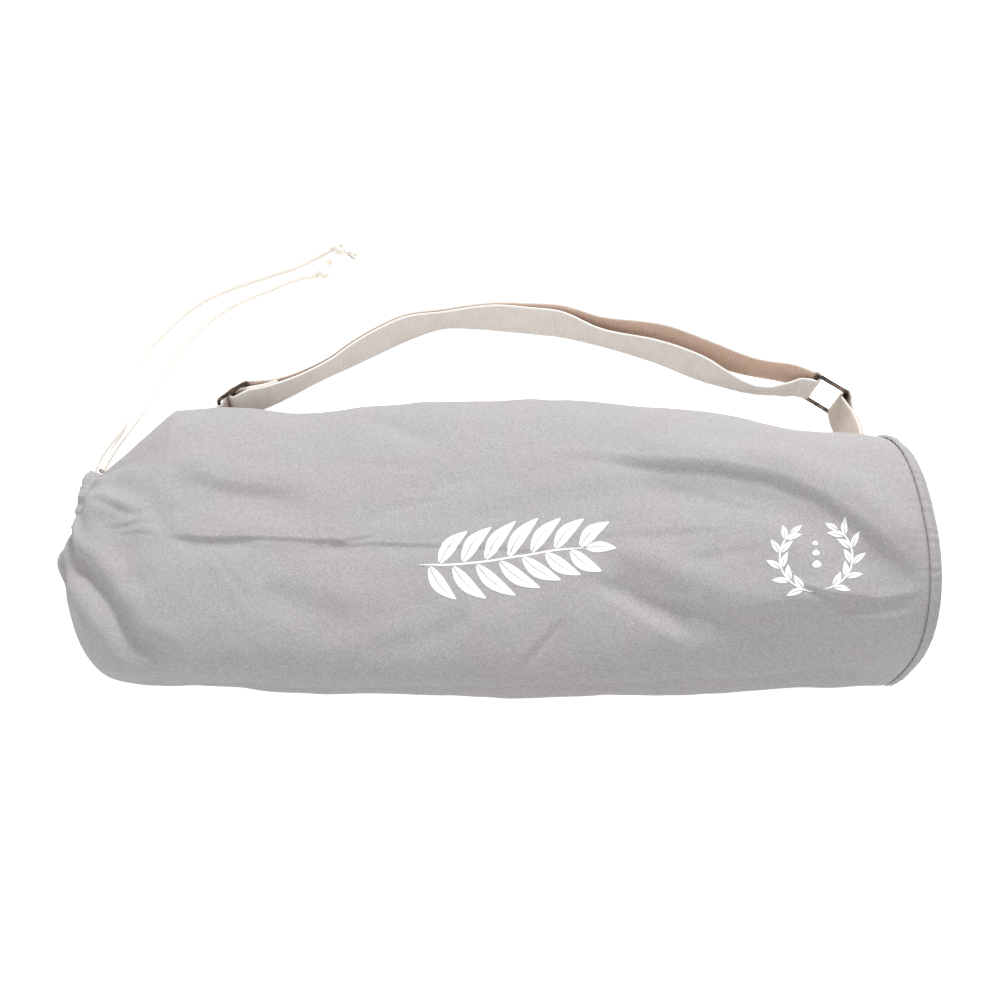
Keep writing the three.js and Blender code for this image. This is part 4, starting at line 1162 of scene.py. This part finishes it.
def make_webbing(name, stations, outer, inner_side):
    """Ribbed webbing along its stations, with rounded, scalloped edges."""
    at, up = stations
    lengths = np.concatenate([[0], np.cumsum(np.linalg.norm(np.diff(at, axis=0), axis=1))])
    count = int(lengths[-1] / RIB_PITCH * 3)
    line = catmull(at, count)
    wanted = np.linspace(0, lengths[-1], count + 1)
    ups = np.stack([np.interp(wanted, lengths, up[:, j]) for j in range(3)], axis=1)
    forward = unit(np.gradient(line, axis=0))
    face = unit(np.cross(forward, ups))
    wide = np.cross(face, forward)
    rib = np.cos(np.arange(count + 1) * 2 * math.pi / 3)[:, None]
    across = np.array([-1, -0.985, -0.95, -0.7, -0.35, 0, 0.35, 0.7, 0.95, 0.985, 1])
    thin = np.array([0, 0.62, 0.95, 1, 1, 1, 1, 1, 0.95, 0.62, 0])
    across = np.concatenate([across, across[-2:0:-1]])
    thick = np.concatenate([thin, -thin[-2:0:-1]])
    half = WEBBING_WIDTH / 2 - 0.15 + 0.15 * rib
    body = WEBBING_THICKNESS / 2 - 0.08 + 0.08 * rib
    rings = (line[:, None] + wide[:, None] * (across * half)[..., None]
             + face[:, None] * (thick * body)[..., None])
    v = np.append(across, across[0]) * WEBBING_WIDTH / 2000
    inner = np.broadcast_to(np.arange(len(across)) >= 10, (count, len(across)))
    uv = (wanted / 1000, v)
    obj = mesh_from_rings(name, rings, outer, uv=uv, second=(inner_side, inner.astype(int)))
    return obj, line, face, wide


# The inner face of the strap's loop takes the painted-shade copy of the webbing
strap, *strap_run = make_webbing("strap", strap_stations(), WEBBING_FACE, WEBBING_PAINTED_SHADE)
tab, *tab_run = make_webbing("tab", tab_stations(), WEBBING_TAB, WEBBING_TAB)
for piece, node in ((strap, "shoulder_strap"), (tab, "strap_tab")):
    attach(piece, "root")
    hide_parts(node)


# Stitches


def stitch(start, end, radius):
    """One stitch: a thread that dips in at both ends."""
    thickness = radius * np.array([0.35, 0.8, 1, 1.05, 1, 0.8, 0.35])
    return closed_shape(tube_rings(np.linspace(start, end, 7), thickness, 8))


def stitch_row(points, pitch=3.4, share=0.72, radius=0.42):
    """Stitches along a line, each filling a share of its pitch."""
    count = max(1, round(line_length(points) / pitch))
    starts = along_line(points, np.arange(count) / count)
    ends = along_line(points, (np.arange(count) + share) / count)
    return [stitch(a, b, radius) for a, b in zip(starts, ends)]


def on_webbing(run, index, across):
    """A point just over a face of the webbing."""
    line, face, wide = run
    return line[index] + wide[index] * across + face[index] * (WEBBING_THICKNESS / 2 + 0.1)


def webbing_box(run, first, last):
    """Stitches in a box with its two diagonals, on one face of the webbing."""
    low, high = -WEBBING_WIDTH / 2 + 4, WEBBING_WIDTH / 2 - 4
    corner = [on_webbing(run, i, a) for i, a in ((first, low), (last, low), (last, high), (first, high))]
    rows = []
    for a, b in ((0, 1), (1, 2), (2, 3), (3, 0), (0, 2), (1, 3)):
        rows += stitch_row(np.array([corner[a], corner[b]]))
    return rows


def nearest(line, point):
    return int(np.argmin(np.linalg.norm(line - point, axis=1)))


fold_at = nearest(strap_run[0], strap_layer(-1, 0, (FOLDED_END - BAR_SPREAD - 4) / 560, 1)[0][1])
shapes = []
for step in (0, 4):
    ends = (3 - WEBBING_WIDTH / 2, WEBBING_WIDTH / 2 - 3)
    shapes += stitch_row(np.array([on_webbing(strap_run, fold_at - step, a) for a in ends]))
last = len(strap_run[0]) - 1
shapes += webbing_box(strap_run, last - 36, last - 6)
for across in (WEBBING_WIDTH / 2 - 2.4, 2.4 - WEBBING_WIDTH / 2):
    shapes += stitch_row(np.array([on_webbing(tab_run, i, across) for i in (2, 12, 22)]))
stitches = join_shapes("webbing_stitches", shapes, THREAD)
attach(stitches, "root")


# Prints

cloth_tree = BVHTree.FromPolygons(cloth.reshape(-1, 3).tolist(), ring_faces(len(cloth), AROUND))
PRINT_LIFT = 0.3
PRINT_SINK = 0.12


def on_cloth(x, y):
    """The place on the cloth's upper side under a point seen from above, with its normal."""
    hit, normal, _, _ = cloth_tree.ray_cast(Vector((x, y, 400)), Vector((0, 0, -1)))
    normal = np.array(normal)
    return np.array(hit), normal if normal[2] > 0 else -normal


def print_strip(left, right, columns=7):
    """A thin film on the cloth between two lines seen from above."""
    rings = []
    for a, b in zip(left, right):
        spots = [on_cloth(*mix(a, b, t)) for t in np.linspace(0, 1, columns)]
        top = [at + normal * PRINT_LIFT for at, normal in spots]
        under = [at - normal * PRINT_SINK for at, normal in spots[::-1]]
        rings.append(top + under)
    return closed_shape(rings)


def stroke(points, width):
    """A line of even width with tapered ends."""
    line = catmull(points, max(6, round(line_length(points) / 1.5)))
    ahead = unit(np.gradient(line, axis=0))
    share = np.linspace(0, 1, len(line))
    half = (width / 2 * np.minimum(1, 0.25 + 6 * np.minimum(share, 1 - share)))[:, None]
    out = np.stack([-ahead[:, 1], ahead[:, 0]], axis=1) * half
    return print_strip(line + out, line - out, 3)


def leaf(root, tip, width, curl):
    """A leaf in two halves with a bare vein between them."""
    root, tip = np.array(root, float), np.array(tip, float)
    axis = tip - root
    side = np.array([-axis[1], axis[0]]) / np.linalg.norm(axis)
    share = np.linspace(0.02, 0.98, max(10, round(np.linalg.norm(axis) / 0.8)))
    middle = root + axis * share[:, None] + side * (curl * np.sin(math.pi * share))[:, None]
    half = width / 2 * np.sin(math.pi * share ** 0.8) ** 0.9
    vein = np.minimum(0.35 * (1 - share), half * 0.4)
    halves = []
    for sign in (1, -1):
        halves.append(print_strip(middle + side * sign * vein[:, None], middle + side * sign * half[:, None]))
    return halves


def branch(centre, length):
    """A leafy branch lying along the bag."""
    shares = np.linspace(-0.5, 0.44, 6)
    stem = [centre + np.array([length * s, 7 * math.sin(3.4 * s) - 4 * s]) for s in shares]
    shapes = [stroke(stem, 1.8)]
    line = catmull(stem, 100)
    for share in np.linspace(0.08, 0.93, 7):
        at = line[int(share * 100)]
        ahead = unit(line[min(int(share * 100) + 2, 100)] - line[int(share * 100) - 2])
        size = 42 - 22 * abs(share - 0.42)
        for sign in (1, -1):
            angle = math.radians(52 - 14 * share) * sign
            way = np.array([ahead[0] * math.cos(angle) - ahead[1] * math.sin(angle),
                            ahead[0] * math.sin(angle) + ahead[1] * math.cos(angle)])
            start = at + way * 1.6 + ahead * (4.5 if sign > 0 else -3)
            shapes += leaf(start, start + way * size, 11.5, 3 * sign)
    tip = line[-1]
    shapes += leaf(tip + [1, 0], tip + [25, -3], 9, 1.5)
    return shapes


def laurel(centre, radius):
    """Two small twigs that curve up round a row of dots."""
    shapes = []
    for side in (1, -1):
        def on_arc(degrees, out=0.0):
            angle = math.radians(degrees)
            return centre + (radius * 0.74 + out) * np.array([side * math.sin(angle), -math.cos(angle)])

        shapes.append(stroke([on_arc(d) for d in range(8, 141, 12)], 1.3))
        for degrees in (22, 48, 74, 100, 124):
            ahead = unit(on_arc(degrees + 2) - on_arc(degrees))
            out = unit(on_arc(degrees, 5) - on_arc(degrees))
            for across in (0.75, -0.75):
                way = unit(ahead + out * across)
                start = on_arc(degrees) + way * 1.2
                shapes += leaf(start, start + way * 12.5, 4.6, 0.8 * side * across)
        tip = on_arc(140)
        shapes += leaf(tip, tip + unit(on_arc(143) - tip) * 11, 4.4, 0)
    for rise, size in ((-6, 3.2), (3, 2.6), (11, 2.1)):
        shapes += leaf(centre + [0, rise - size], centre + [0, rise + size], size * 2.1, 0)
    return shapes


BRANCH_PLACE = np.array([5, -24])
LAUREL_PLACE = np.array([236, -46])
prints = (("branch_print", branch(BRANCH_PLACE, 136)), ("laurel_print", laurel(LAUREL_PLACE, 36)))
for name, shapes in prints:
    film = join_shapes(name, shapes, WHITE_PRINT)
    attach(film, "root")
